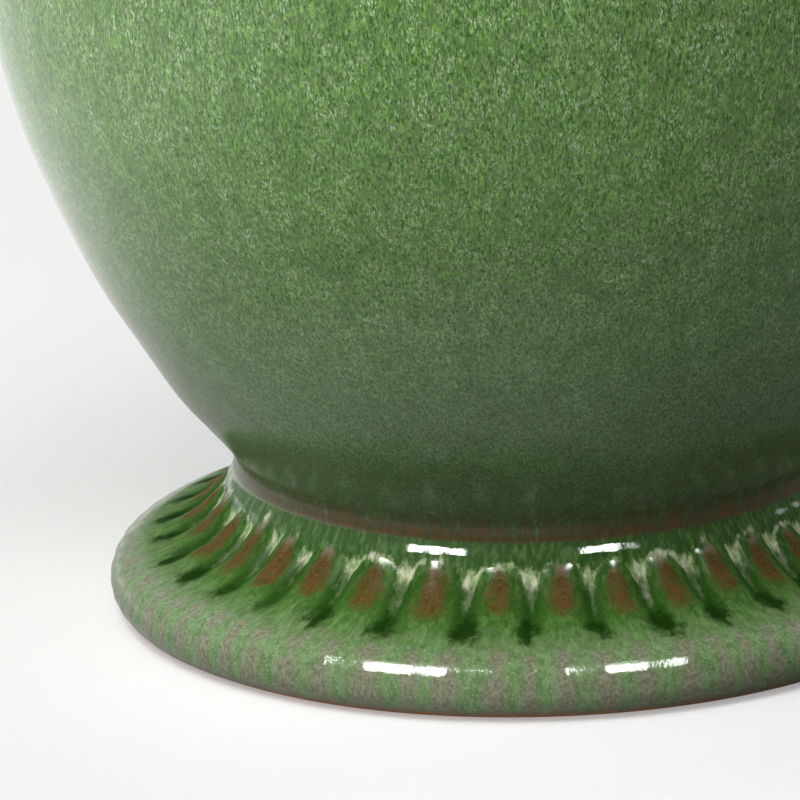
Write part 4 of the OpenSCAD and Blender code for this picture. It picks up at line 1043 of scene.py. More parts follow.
def threaded(name, r0, depth, pitch, z0, z1, bore, n, body, slot, mat, repl, chamfer=0.6):
    """A rod with a real helical thread, hollow if bore is above 0."""
    k = int((z1 - z0) / pitch * 8)
    zs = np.linspace(z0, z1, k + 1)
    prof = [(bore, z0)] if bore > 0 else [(0, z0)]
    prof += [(r0, z) for z in zs]
    prof += [(bore, z1)] if bore > 0 else [(0, z1)]

    def d(th, i, r, z):
        if 0 < i <= len(zs):
            ph = (z / pitch - th / TAU) % 1.0
            tri = np.abs(2 * ph - 1)
            end = np.minimum(z - z0, z1 - z)
            r = r - depth * tri - np.clip(chamfer - end, 0, None) * 0.8
        return r, z
    return lathe(name, prof, n, body, slot, mat, repl, closed=bore > 0, disp=d, sharp=None)


threaded("rod_threaded", 4.98, 0.42, 0.94, bot("threaded_rod"), top("threaded_rod"), 3.3, 28, "base", "plated_steel", STEEL, ["threaded_rod"])


def hexnut(name, af, z0, h, bore, body, slot, mat, repl):
    """A hexagon nut with chamfered corners."""
    n = 96
    th = np.arange(n) * TAU / n
    hexr = (af / 2) / np.cos((th + PI / 6) % (PI / 3) - PI / 6)
    prof = [(bore, z0 + 0.4), (bore + 0.4, z0), (af * 0.45, z0), (1, z0 + 0.01), (1, z0 + 0.9), (1, z0 + h - 0.9),
            (1, z0 + h - 0.01), (af * 0.45, z0 + h), (bore + 0.4, z0 + h), (bore, z0 + h - 0.4)]

    def d(t, i, r, z):
        if i in (3, 4, 5, 6):
            e = min(z[0] - z0, z0 + h - z[0])
            r = np.minimum(hexr, af / 2 + 0.1 + e * 1.9)
        return r, z
    return lathe(name, prof, n, body, slot, mat, repl, disp=d, sharp=28)


hexnut("nut_bottom", 17, bot("bottom_nut"), 6, 5.06, "base", "plated_steel", STEEL, ["bottom_nut"])
hexnut("nut_top", 15, bot("top_locknut"), 3.5, 5.06, "base", "plated_steel", STEEL, ["top_locknut"])


# =====================================================================
# brass cap and neck
# =====================================================================
def make_cap():
    c, z = 30.0, VCAP_Z
    dome_o = [(c - 5 - 9 * t, 2.6 + 4.9 * math.sin(PI / 2 * t)) for t in np.linspace(0, 1, 18)]
    dome_i = [(c - 6 - 9 * t, 1.2 + 4.9 * math.sin(PI / 2 * t)) for t in np.linspace(1, 0, 10)]
    p = [(c - 2.5, 0.02, 0.3)] + [(c - 0.6, 0.02, 0.4), (c, 0.9, 0.6), (c - 0.7, 1.85, 0.5), (c - 3.2, 2.15, 0.5)]
    p += dome_o + [(15.6, 8.2, 0.5), (15.3, 8.95, 0.3), (5.2, 9.0, 0.15), (5.2, 7.7, 0.1), (14.4, 7.6, 0.3)] + dome_i + [(c - 4.5, 1.0, 0.2)]
    p = [(q[0], q[1] + z) + tuple(q[2:]) for q in p]
    lathe("cap_spun", rounded(p, seg=4), 144, "base", "brass_cap", BRASS_CAP, ["vase_cap"])


make_cap()


def make_neck():
    z, h = VCAP_TOP, NECK_TOP - VCAP_TOP

    def bead(zc, r, rad, a0, a1, n=9):
        return [(r + rad * math.cos(math.radians(a)), zc + rad * math.sin(math.radians(a))) for a in np.linspace(a0, a1, n)]
    p = [(9.1, 0), (13.2, 0.0, 0.2)] + bead(1.1, 13.2, 1.1, -80, 85) + [(12.3, 2.3, 0.3), (11.3, 2.7, 0.5), (10.75, 3.7, 0.8), (10.4, 5.2, 1.0), (10.25, h / 2 - 1.5, 0.25)]
    p += bead(h / 2, 10.3, 1.2, -75, 75) + [(10.25, h / 2 + 1.5, 0.25), (10.4, h - 5.0, 1.0), (10.8, h - 3.5, 0.7), (11.9, h - 2.4, 0.35)]
    p += bead(h - 1.1, 12.4, 1.1, -75, 88) + [(5.1, h, 0.1), (5.1, h - 2), (9.1, h - 2)]
    p = [(q[0], q[1] + z) + tuple(q[2:]) for q in p]
    lathe("neck_turned", rounded(p, seg=4), 128, "base", "brass_cap", BRASS_CAP, ["brass_neck"])


make_neck()


# =====================================================================
# saddle, harp, sleeves
# =====================================================================
def make_saddle():
    """A strip bent into a shallow U, narrowed to a tongue at each end."""
    z0 = NECK_TOP
    half = turtle([(30.0, 0), (3.2, 90), (16.39, 0)], 0, (0, 0.8), 0.5)
    pts = np.vstack([half[:0:-1] * [-1, 1], half])
    d = np.r_[0, np.cumsum(np.linalg.norm(np.diff(pts, axis=0), axis=1))]
    s = np.linspace(0, d[-1], 150)
    X, Z = np.interp(s, d, pts[:, 0]), np.interp(s, d, pts[:, 1])
    L = d[-1]
    e = np.minimum(s, L - s)
    w = 2.2 + 3.8 * sstep(8.5, 9.8, e)
    w = np.where(e < 1.2, 2.2 - 0.8 * (1 - e / 1.2) ** 2, w)
    T = np.stack([np.gradient(X), np.gradient(Z)], 1)
    T /= np.linalg.norm(T, axis=1)[:, None]
    N = np.stack([-T[:, 1], T[:, 0]], 1)
    V, F = [], []
    sec = rounded([(-1, -0.8, 0.3), (1, -0.8, 0.3), (1, 0.8, 0.3), (-1, 0.8, 0.3)], seg=3)
    m = len(sec)
    for x, z, nn, ww in zip(X, Z, N, w):
        for a, b in sec:
            aa = np.sign(a) * (ww - (1 - abs(a)))
            V.append((x + nn[0] * b, aa, z0 + z + nn[1] * b))
    for i in range(len(X) - 1):
        for j in range(m):
            k = (j + 1) % m
            F.append((i * m + j, i * m + k, (i + 1) * m + k, (i + 1) * m + j))
    F += [tuple(range(m)), tuple((len(X) - 1) * m + j for j in range(m))]
    o = build("saddle_strip", V, F, "base", "brass_harp", BRASS_HARP, ["harp_saddle"])
    cs = []
    for x, r in ((0, 5.1), (-19, 2.2), (19, 2.2)):
        v, f = lathe_vf([(0, -3), (r, -3), (r, 5), (0, 5)], 40, closed=False)
        cs.append(temp_mesh(v + np.array([x, 0, z0]), f))
    cut(o, cs)
    o.data.set_sharp_from_angle(angle=math.radians(40))


make_saddle()


def harp_points():
    hx, z0, half = 35.9, bot("harp_wire"), 52.0
    seat = CROWN_TOP - 3.2
    up, a, r1, r2 = 25.0, 34.0, 20.0, 24.0
    ar = math.radians(a)
    slant = (half - hx - (r1 + r2) * (1 - math.cos(ar))) / math.sin(ar)
    z1 = z0 + up + (r1 + r2) * math.sin(ar) + slant * math.cos(ar)
    big = half - 8
    side = seat - big - z1
    steps = [(up, 0), (r1, -a), (slant, 0), (r2, a), (side, 0), (big, 90), (16, 0), (big, 90), (side, 0),
             (r2, a), (slant, 0), (r1, -a), (up, 0)]
    p = turtle(steps, 90, (hx, z0), 1.2)
    return np.stack([p[:, 0], np.zeros(len(p)), p[:, 1]], 1)


HP = harp_points()
V, F = sweep_vf(HP, circle(1.6, 24), (0, 1, 0))
build("harp_bow", V, F, "harp", "brass_harp", BRASS_HARP, ["harp_wire"], sharp=50)
_s = CROWN_TOP - 3.2
crown = lathe("harp_collar", rounded([(0, _s - 3.4), (5.2, _s - 3.4, 0.4), (6.2, _s - 2.4, 0.6), (6.2, _s + 1.6, 0.4), (7.4, _s + 2.0, 0.3),
                                      (7.4, _s + 3.2, 0.4), (0, _s + 3.2)], closed=False), 96, "harp", "brass_harp", BRASS_HARP, ["harp_crown"], closed=False)
threaded("stud_threaded", 3.08, 0.40, 0.9407, bot("finial_stud"), top("finial_stud"), 0, 32, "harp", "plated_steel", STEEL, ["finial_stud"])


def make_sleeve(sign, name, node):
    lo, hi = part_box(node)
    cx = (lo.x + hi.x) / 2 / MM
    hx, hy = (hi.x - lo.x) / 2 / MM, (hi.y - lo.y) / 2 / MM
    z0, z1 = lo.z / MM, hi.z / MM

    def ring(inset, flare=0.0):
        a, b = hx - inset + flare, hy - inset + flare
        c = max(0.3, 1.8 - inset * 0.6)
        return rounded([(a, -b, c), (a, b, c), (-a, b, c), (-a, -b, c)], seg=6)
    rows = [(0.0, z0 + 0.3, 0.0), (0.0, z0 + 1.2, 0.0), (-0.02, z0 + 1.6, 0), (-0.35, z0 + 2.1, 0), (-0.02, z0 + 2.6, 0), (0.0, z0 + 3.2, 0),
            (0.0, z1 - 3.2, 0), (-0.02, z1 - 2.6, 0), (-0.35, z1 - 2.1, 0), (-0.02, z1 - 1.6, 0), (0.0, z1 - 1.2, 0), (0, z1 - 0.3, 0)]
    R = [(ring(0.25), z0)] + [(ring(0.35 + f if f < 0 else 0.0), z) for f, z, _ in rows[:0]]
    R += [(ring(0.0 if f == 0 else (0.12 if f > -0.1 else 0.02)), z) for f, z, _ in rows]
    R += [(ring(0.25), z1), (ring(0.75), z1), (ring(0.8), z1 - 0.4), (ring(0.8), (z0 + z1) / 2), (ring(0.8), z0 + 0.4), (ring(0.75), z0)]
    m = len(R[0][0])
    V = np.vstack([np.c_[a + [cx, 0], np.full(m, z)] for a, z in R])
    F = []
    for i in range(len(R)):
        k = (i + 1) % len(R)
        for j in range(m):
            q = (j + 1) % m
            F.append((i * m + j, i * m + q, k * m + q, k * m + j))
    build(name, V, F, "sleeve_" + sign, "brass_harp", BRASS_HARP, [node], sharp=40)


make_sleeve("left", "sleeve_tube_left", "harp_sleeve_left")
make_sleeve("right", "sleeve_tube_right", "harp_sleeve_right")


# =====================================================================
# socket
# =====================================================================
def make_socket():
    s, z = 16.4, SOCK_Z
    cup = [(9.4 + (s + 0.9 - 9.4) * math.sin(a), 14.6 - 8 * math.cos(a)) for a in np.linspace(0, PI / 2, 20)]
    inn = [(8.6 + (s + 0.05 - 8.6) * math.sin(a), 14.9 - 7.4 * math.cos(a)) for a in np.linspace(PI / 2, 0, 12)]
    p = [(5.06, 0.2, 0.15), (5.3, 0.0), (7.5, 0.0, 0.4), (8.2, 0.8, 0.4), (8.2, 2.0, 0.15), (7.95, 2.3, 0.15), (8.2, 2.6, 0.15), (8.2, 5.2, 0.6), (9.3, 6.2, 0.6)] + cup[1:]
    p += [(s + 0.9, 17.4, 0.2), (s + 1.35, 17.9, 0.3), (s + 1.35, 19.3, 0.4), (s + 0.9, 19.8, 0.3), (s + 0.1, 19.8, 0.2), (s + 0.05, 15)] + inn[1:]
    p += [(5.06, 7.5, 0.2)]
    p = [(q[0], q[1] + z) + tuple(q[2:]) for q in p]
    o = lathe("cap_drawn", rounded(p, seg=4), 128, "base", "brass_socket", BRASS_SOCK, ["socket_cap"])
    v, f = lathe_vf([(0, -12), (1.45, -12), (1.45, -4), (0, -4)], 32, closed=False)
    v = v @ np.array(Matrix.Rotation(math.radians(90), 3, "Y")).T + np.array([0, 0, z + 3])
    cut(o, [temp_mesh(v, f)])
    o.data.set_sharp_from_angle(angle=math.radians(35))
    # shell: beads, a rolled rim and the notch for the key
    bead = [(s - 0.1 + 1.1 * math.cos(math.radians(a)), 55.6 + 1.1 * math.sin(math.radians(a))) for a in np.linspace(-78, 165, 16)]
    p = [(s - 0.55, 15.4, 0.1), (s, 15.4, 0.15), (s, 24.6), (s, 46.4, 0.3), (s + 0.42, 47.2, 0.5), (s, 48.0, 0.3), (s, 50, 0.5), (s - 0.18, 51.2, 0.5), (s - 0.18, 54.2, 0.3)]
    p += bead + [(s - 0.75, 54.8, 0.3), (s - 0.75, 51.2, 0.5), (s - 0.58, 50, 0.5)]
    p = [(q[0], q[1] + z) + tuple(q[2:]) for q in p]
    o = lathe("shell_drawn", rounded(p, seg=4), 160, "base", "brass_socket", BRASS_SOCK, ["socket_shell"])
    r = 4.4
    out = [(-r, SOCK_Z + 10), (r, SOCK_Z + 10)] + [(r * math.cos(a), STEM_Z + r * math.sin(a)) for a in np.linspace(0, PI, 20)]
    v, f = prism(out, 0, 30)
    v = v[:, [0, 2, 1]] * [1, -1, 1]
    cut(o, [temp_mesh(v, f)])
    o.data.set_sharp_from_angle(angle=math.radians(35))


make_socket()
PITCH = 3.629


def helix(r0, amp, wall, z0, z1, n, flat=0.0):
    """The wall of a rolled thread, as a closed profile whose rows follow the helix."""
    k = int((z1 - z0) / PITCH * 14)
    zs = np.linspace(z0, z1, k + 1)
    prof = [(r0 + wall, z) for z in zs] + [(r0, z) for z in zs[::-1]]

    def d(th, i, r, z):
        fade = np.clip(np.minimum(z - z0, z1 - z) / 1.6, 0, 1)
        return r + amp * fade * np.cos(TAU * (z / PITCH) - th), z
    return prof, d


_p, _d = helix(13.62, 0.24, 0.40, SOCK_Z + 32.2, SOCK_Z + 51.6, 128)
lathe("shell_screw", _p, 128, "base", "contact_metal", CONTACT, ["screw_shell"], disp=_d, sharp=45)


def make_bulb():
    z = BULB_Z
    lathe("bulb_tip", rounded([(0, 0), (2.0, 0.15, 0.5), (3.6, 0.55, 0.6), (4.6, 1.4, 0.4), (4.6, 1.7, 0.1), (0, 1.7)], closed=False) + np.array([0, z]),
          64, "bulb_tip", "bulb_metal", BULB_METAL, ["bulb_contact"], closed=False)
    lathe("bulb_vitrite", rounded([(0, 1.72), (4.9, 1.72, 0.3), (6.2, 2.3, 0.8), (8.9, 4.3, 0.8), (9.3, 4.88, 0.2), (0, 4.88)], closed=False) + np.array([0, z]),
          96, "bulb", "black_glass", BLACK_GLASS, ["bulb_insulator"], closed=False)
    # screw cap with a rolled thread
    k = 16 * 5
    zs = np.linspace(7.2, 24.0, k + 1)
    lead = [(8.4, 4.92), (9.6, 4.95), (11.0, 5.7), (11.9, 6.5), (12.3, 6.9)]
    tail = [(12.5, 24.3), (12.9, 24.9), (13.0, 25.4), (13.0, 27.0), (12.85, 27.3), (12.5, 27.3), (12.42, 27.0), (12.42, 24.9), (11.85, 24.0), (11.85, 7.6), (9, 5.6), (8.4, 5.5)]
    prof = np.array(lead + [(12.62, q) for q in zs] + tail) + np.array([0, z])
    n0, n1 = len(lead), len(lead) + len(zs)

    def d(th, i, r, zz):
        if n0 <= i < n1:
            e = np.clip(np.minimum(zz - prof[n0][1], prof[n1 - 1][1] - zz) / 1.8, 0, 1)
            r = r + 0.34 * e * np.cos(TAU * (zz / PITCH) - th)
        return r, zz
    lathe("bulb_screwcap", prof, 128, "bulb", "bulb_metal", BULB_METAL, ["bulb_cap"], disp=d, sharp=45)
    st = [(11.35, 14), (11.4, 19.5), (11.6, 24), (13, 29), (16, 35.5), (19.8, 42.5), (22.6, 50), (23.9, 58),
          (23.7, 65), (21.9, 72.4), (18.4, 78.8), (12.8, 84), (6.6, 86.6), (0, 87.4)]
    o = catmull(st, 6)
    o[:, 0] = np.clip(o[:, 0], 0, None)
    T = np.gradient(o, axis=0)
    T /= np.linalg.norm(T, axis=1)[:, None]
    i = o + 0.7 * np.stack([-T[:, 1], T[:, 0]], 1)
    i = i[i[:, 0] > 0.4][::-1]
    prof = np.vstack([o[:-1], [(0, 87.4)], [(0, 86.7)], i[::3]]) + np.array([0, z + 1.6])
    lathe("bulb_envelope", prof, 96, "bulb", "bulb_white", BULB, ["bulb_glass"], sharp=60)
    # filament: a real coil between the supports
    y0 = z + 16 + 19 + 21 * math.cos(math.radians(24)) + 0.64
    x0 = 2.4 + 21 * math.sin(math.radians(24))
    t = np.linspace(-x0, x0, 420)
    P = np.stack([t, 0.36 * np.cos(t * TAU / 0.62), y0 + 0.36 * np.sin(t * TAU / 0.62)], 1)
    V, F = sweep_vf(P, circle(0.12, 6), (0, 1, 0))
    build("bulb_coil", V, F, "bulb", "tungsten", TUNGSTEN, ["bulb_filament"])


make_bulb()


# =====================================================================
# switch
# =====================================================================
def make_switch():
    rot = Matrix.Rotation(math.radians(90), 3, "X")       # local z to -Y
    lathe("stem_turned", rounded([(0, 3.0), (2.0, 3.0, 0.2), (2.0, 19.4), (1.75, 19.9, 0.2), (1.75, 20.9, 0.2), (2.0, 21.4), (2.0, 26.0, 0.2), (0, 26.0)], closed=False),
          48, "switch", "contact_metal", CONTACT, ["switch_stem"], at=(0, 0, STEM_Z), rot=rot, closed=False)
    # key: a round boss that flattens into a waisted paddle
    n, rows = 64, []
    for t in np.linspace(0, 1, 34):
        y = 22.5 + 13.0 * t
        k = float(sstep(0.16, 0.42, t))
        a = 3.6 * (1 - k) + 7.0 * k - 0.9 * math.exp(-((t - 0.36) / 0.10) ** 2)
        b = 3.6 * (1 - k) + 1.9 * k
        end = max(0.0, (t - 0.62) / 0.38)
        a *= math.sqrt(max(0.0, 1 - 0.86 * end ** 2.6))
        b *= math.sqrt(max(0.0, 1 - 0.80 * end ** 8))
        if t < 0.03:
            a, b = a - 0.35, b - 0.35
        rows.append((y, a, b, 2 + 1.2 * k))
    V, F = [], []
    for y, a, b, p in rows:
        th = np.arange(n) * TAU / n
        c, s = np.cos(th), np.sin(th)
        rr = (np.abs(c) ** p + np.abs(s) ** p) ** (-1 / p)
        V.append(np.stack([a * rr * c, np.full(n, -y), STEM_Z + b * rr * s], 1))
    V = np.vstack(V)
    for i in range(len(rows) - 1):
        for j in range(n):
            k = (j + 1) % n
            F.append((i * n + j, i * n + k, (i + 1) * n + k, (i + 1) * n + j))
    F += [tuple(range(n)), tuple((len(rows) - 1) * n + j for j in range(n))]
    build("key_moulded", V, F, "switch", "key_plastic", KEY, ["switch_key"], sharp=50)


make_switch()


# =====================================================================
# shade
# =====================================================================
def shade_r(z):
    return SHADE_R1 + (SHADE_R2 - SHADE_R1) * (z - SHADE_BOT) / (SHADE_TOP - SHADE_BOT)


SLOPE = math.atan((SHADE_R1 - SHADE_R2) / (SHADE_TOP - SHADE_BOT))


def make_shade():
    n = 480
    th = np.arange(n) * TAU / n
    back = PI / 2
    lap_w = 8.5
    wob = smooth_noise(41, 6, 2, 7, 0.22)
    rows = []
    zo = np.linspace(SHADE_BOT + 0.15, SHADE_TOP - 0.15, 56)
    for z in zo:
        rows.append((z, 0.0, 1))
    rows.append((SHADE_TOP, -0.12, 1))
    rows.append((SHADE_TOP, -SHADE_T + 0.12, 2))
    for z in zo[::-2]:
        rows.append((z, -SHADE_T, 2))
    rows.append((SHADE_BOT, -SHADE_T + 0.12, 2))
    rows.append((SHADE_BOT, -0.12, 1))
    V = []
    d = (th - back + PI) % TAU - PI
    for z, off, side in rows:
        R = shade_r(z)
        mid = math.sin(PI * (z - SHADE_BOT) / (SHADE_TOP - SHADE_BOT))
        r = R + off + wob(th) * mid * 0.6
        arc = d * R
        lap = sstep(-lap_w / 2 - 0.3, -lap_w / 2 + 0.3, arc) * (1 - sstep(lap_w / 2 + 1.0, lap_w / 2 + 6, arc))
        if side == 1:
            r = r + 0.40 * lap
        V.append(np.stack([r * np.cos(th), r * np.sin(th), np.full(n, z)], 1))
    m = len(rows)
    V = np.vstack(V)
    F, fm, uv = [], [], []
    Rm = (SHADE_R1 + SHADE_R2) / 2
    cs = 1 / math.cos(SLOPE)
    for k in range(m):
        k2 = (k + 1) % m
        for i in range(n):
            j = (i + 1) % n
            F.append((k * n + i, k * n + j, k2 * n + j, k2 * n + i))
            fm.append(0 if (rows[k][2] == 1 and rows[k2][2] == 1) else 1)
            u0, u1 = i * TAU / n * Rm * MM, (i + 1) * TAU / n * Rm * MM
            v0, v1 = rows[k][0] * cs * MM, rows[k2][0] * cs * MM
            uv += [(u0, v0), (u1, v0), (u1, v1), (u0, v1)]
    build("shade_cloth", V, F, "shade", "shade_linen", LINEN, ["shade_cover"], mats=[LINEN, LINING], fmat=fm, uv=uv, sharp=60, recalc=False)

    # bound edges, folded over the ring wires
    def trim(name, node, edge, s):
        # local coordinates: d out from the cover's outer face, e in from the edge
        sec = [(0.03, 8.9), (0.45, 9.0, 0.3), (0.72, 8.2, 0.5), (0.70, 4.5), (0.72, 0.9, 0.5), (0.30, -0.42, 0.5), (-1.3, -0.50, 0.4)]
        cx, ce, rr = -SHADE_T - 1.6, 2.6, 1.93
        for a in np.linspace(-70, -250, 14):
            sec.append((cx + rr * math.cos(math.radians(a)), ce + rr * math.sin(math.radians(a))))
        sec += [(-SHADE_T - 0.55, 5.6, 0.6), (-SHADE_T - 0.42, 7.4, 0.25), (-SHADE_T - 0.03, 7.5), (-SHADE_T - 0.03, 0.02), (0.03, 0.02)]
        sec = rounded(sec, seg=3)
        puck = smooth_noise(51 if s > 0 else 52, 10, 20, 90, 0.05)
        nn = 480
        t = np.arange(nn) * TAU / nn
        dd = (t - back + 0.05 + PI) % TAU - PI
        V, F, uv = [], [], []
        mm_ = len(sec)
        peri = np.r_[0, np.cumsum(np.linalg.norm(np.diff(np.vstack([sec, sec[:1]]), axis=0), axis=1))]
        for (a, e) in sec:
            z = edge - s * e
            R = shade_r(z)
            join = 0.35 * sstep(-5.2, -4.9, dd * R) * (1 - sstep(4.0, 9.0, dd * R)) if a > 0.2 else 0.0
            r = R + a + (puck(t) + join if a > 0.2 or a < -SHADE_T - 0.5 else 0.0)
            V.append(np.stack([r * np.cos(t), r * np.sin(t), np.full(nn, z)], 1))
        V = np.vstack(V)
        for k in range(mm_):
            k2 = (k + 1) % mm_
            for i in range(nn):
                j = (i + 1) % nn
                F.append((k * nn + i, k * nn + j, k2 * nn + j, k2 * nn + i))
                u0, u1 = i * TAU / nn * 0.14, (i + 1) * TAU / nn * 0.14
                v0, v1 = peri[k] * MM, peri[k + 1] * MM
                uv += [(u0, v0), (u1, v0), (u1, v1), (u0, v1)]
        build(name, V, F, "shade", "shade_binding", BINDING, [node], uv=uv, sharp=70, recalc=False)

    trim("binding_top", "shade_top_trim", SHADE_TOP, 1)
    trim("binding_bottom", "shade_bottom_trim", SHADE_BOT, -1)

    # wires
    def torus(R, r, z, n1=240, n2=16):
        a = np.arange(n2) * TAU / n2
        return lathe_vf(np.stack([R + r * np.cos(a), z + r * np.sin(a)], 1), n1)
    zb = SHADE_BOT + 2.6
    V, F = torus(shade_r(zb) - SHADE_T - 1.6, 1.5, zb)
    build("ring_bottom_wire", V, F, "shade", "shade_wire", SHADE_WIRE, ["shade_bottom_ring"])
    zt = SHADE_TOP - 2.6
    RR = shade_r(zt) - SHADE_T - 1.6
    V, F = torus(RR, 1.5, zt)
    V, F = list(V), list(F)
    zw = CROWN_TOP + 0.05
    wv, wf = lathe_vf(rounded([(3.3, zw, 0.15), (9, zw, 0.3), (9, zw + 1.5, 0.4), (3.3, zw + 1.5, 0.3)], seg=3), 72)
    F += [tuple(i + len(V) for i in f) for f in wf]
    V += list(wv)
    for k in range(3):
        a = math.radians(90 + 120 * k)
        c, s = math.cos(a), math.sin(a)
        p0, p1 = np.array([7.6, zw + 0.75]), np.array([RR - 0.2, zt])
        t = np.linspace(0, 1, 40)
        x = p0[0] + (p1[0] - p0[0]) * t
        z = p0[1] + (p1[1] - p0[1]) * (t + 0.10 * np.sin(PI * t) * 0)
        P = np.stack([x * c, x * s, z], 1)
        sc = 1.0 + 0.25 * np.exp(-((x - 9.5) / 3.0) ** 2) + 0.35 * np.exp(-((RR - 1.6 - x) / 2.2) ** 2)
        v, f = sweep_vf(P, circle(1.2, 16), (0, 0, 1), scale=sc)
        F += [tuple(i + len(V) for i in g) for g in f]
        V += list(v)
    build("spider_wire", np.array(V), F, "shade", "shade_wire", SHADE_WIRE, ["shade_spider"], sharp=50)


make_shade()


# =====================================================================
# finial
# =====================================================================
def make_finial():
    z = FIN_Z
    lathe("finial_ring", rounded([(3.3, z, 0.1), (6.6, z, 0.25), (6.6, z + 0.8, 0.3), (3.3, z + 0.8, 0.15)], seg=3), 72, "shade_hub", "finial_brass", FINIAL_BRASS, ["finial_washer"])
    zi = z + 0.85
    lathe("finial_bush", rounded([(3.16, zi, 0.15), (6, zi, 0.25), (6, zi + 1.4, 0.25), (4.6, zi + 1.4), (4.6, zi + 10, 0.3), (3.16, zi + 10, 0.2)], seg=3),
          72, "finial_core", "finial_brass", FINIAL_BRASS, ["finial_insert"])
    st = [(6.2, 0), (6.8, 1.2), (6.1, 2.6), (5.6, 4), (6.4, 6), (8.6, 8.8), (9.8, 12.4), (9.5, 16.2), (7.6, 19.4),
          (4.6, 21.6), (2.6, 22.8), (2.2, 23.8), (2.7, 24.8), (2.2, 26), (0, 26.6)]
    o = catmull(st, 5)
    o[:, 0] = np.clip(o[:, 0], 0, None)
    # two fine turned lines on the ball
    for zc in (10.6, 14.6):
        o[:, 0] -= 0.28 * np.exp(-((o[:, 1] - zc) / 0.35) ** 2)
    fine = resample(o, 0.35)
    for zc in (10.6, 14.6):
        fine[:, 0] -= 0.18 * np.exp(-((fine[:, 1] - zc) / 0.3) ** 2)
    fine[-1] = (0, 26.6)
    prof = np.vstack([fine, [(0, 9.8), (4.4, 9.8), (4.66, 9.5), (4.66, 0.3), (4.9, 0.0)]]) + np.array([0, z + 2.3])
    lathe("finial_turned", prof, 112, "finial", "finial_brass", FINIAL_BRASS, ["finial_knob"], sharp=45)


make_finial()


# =====================================================================
# cord and plug
# =====================================================================
def make_cord():
    cr, hz, fr = 1.3, 5.5, 77.3
    cz, pz, ease = cr + 0.15, 7.2, 20.0
    er = math.radians(ease)

    def erun(d):
        return (d - 40 * (1 - math.cos(er))) / math.sin(er)

    def elen(d):
        return 40 * math.sin(er) + erun(d) * math.cos(er)
    down, rise = hz - cz, pz - cz
    y1 = fr + 6
    y2 = y1 + elen(down) + 8
    run, last = 46.0, 20.0
    a = turtle([(SOCK_Z + 9 - 12, 0), (6.5, 90), (y1 - 6.5, 0), (20, -ease), (erun(down), 0), (20, ease), (8, 0)], -90, (0, SOCK_Z + 9), 0.9)
    A = np.stack([np.zeros(len(a)), a[:, 0], a[:, 1]], 1)
    b = turtle([(30, -90), (run, 0), (30, -90), (last, 0)], 90, (0, y2), 1.2)[1:]
    # a real cord never lies dead straight
    sb = np.linspace(0, 1, len(b))
    B = np.stack([b[:, 0], b[:, 1], np.full(len(b), cz)], 1)
    B[:, 1] += 0.9 * np.sin(PI * sb) ** 2 * np.sin(sb * 11.0)
    B[:, 0] += 0.8 * np.sin(PI * sb) ** 2 * np.cos(sb * 9.0 + 1.0)
    px = run + 60
    c = turtle([(20, ease), (erun(rise), 0), (20, -ease), (4, 0)], 0, (0, 0), 0.9)[1:]
    C = np.stack([np.full(len(c), px), y2 - last - c[:, 0], cz + c[:, 1]], 1)
    P = np.vstack([A, B, C])
    keep = np.r_[True, np.linalg.norm(np.diff(P, axis=0), axis=1) > 0.15]
    P = P[keep]
    # figure-of-eight section with a shallow groove
    ang = np.arange(26) * TAU / 26
    th = math.acos(1.2 / 1.3) if False else math.radians(22.6)
    g = math.acos(min(1.0, 1.2 / cr))
    right = [(1.2 + cr * math.cos(t), cr * math.sin(t)) for t in np.linspace(-(PI - g), PI - g, 16)]
    left = [(-x, -y) for x, y in right]
    sec = np.array(right + left)
    # sec x is the wide direction: it must lie along world x at the start
    V, F = sweep_vf(P, sec[:, [1, 0]] * [1, 1], (1, 0, 0))
    build("cord_twin", V, F, "base", "cord_vinyl", VINYL, ["power_cord"], sharp=60)
    return px, y2 - last - elen(rise) - 3, pz


PX, PY, PZ = make_cord()


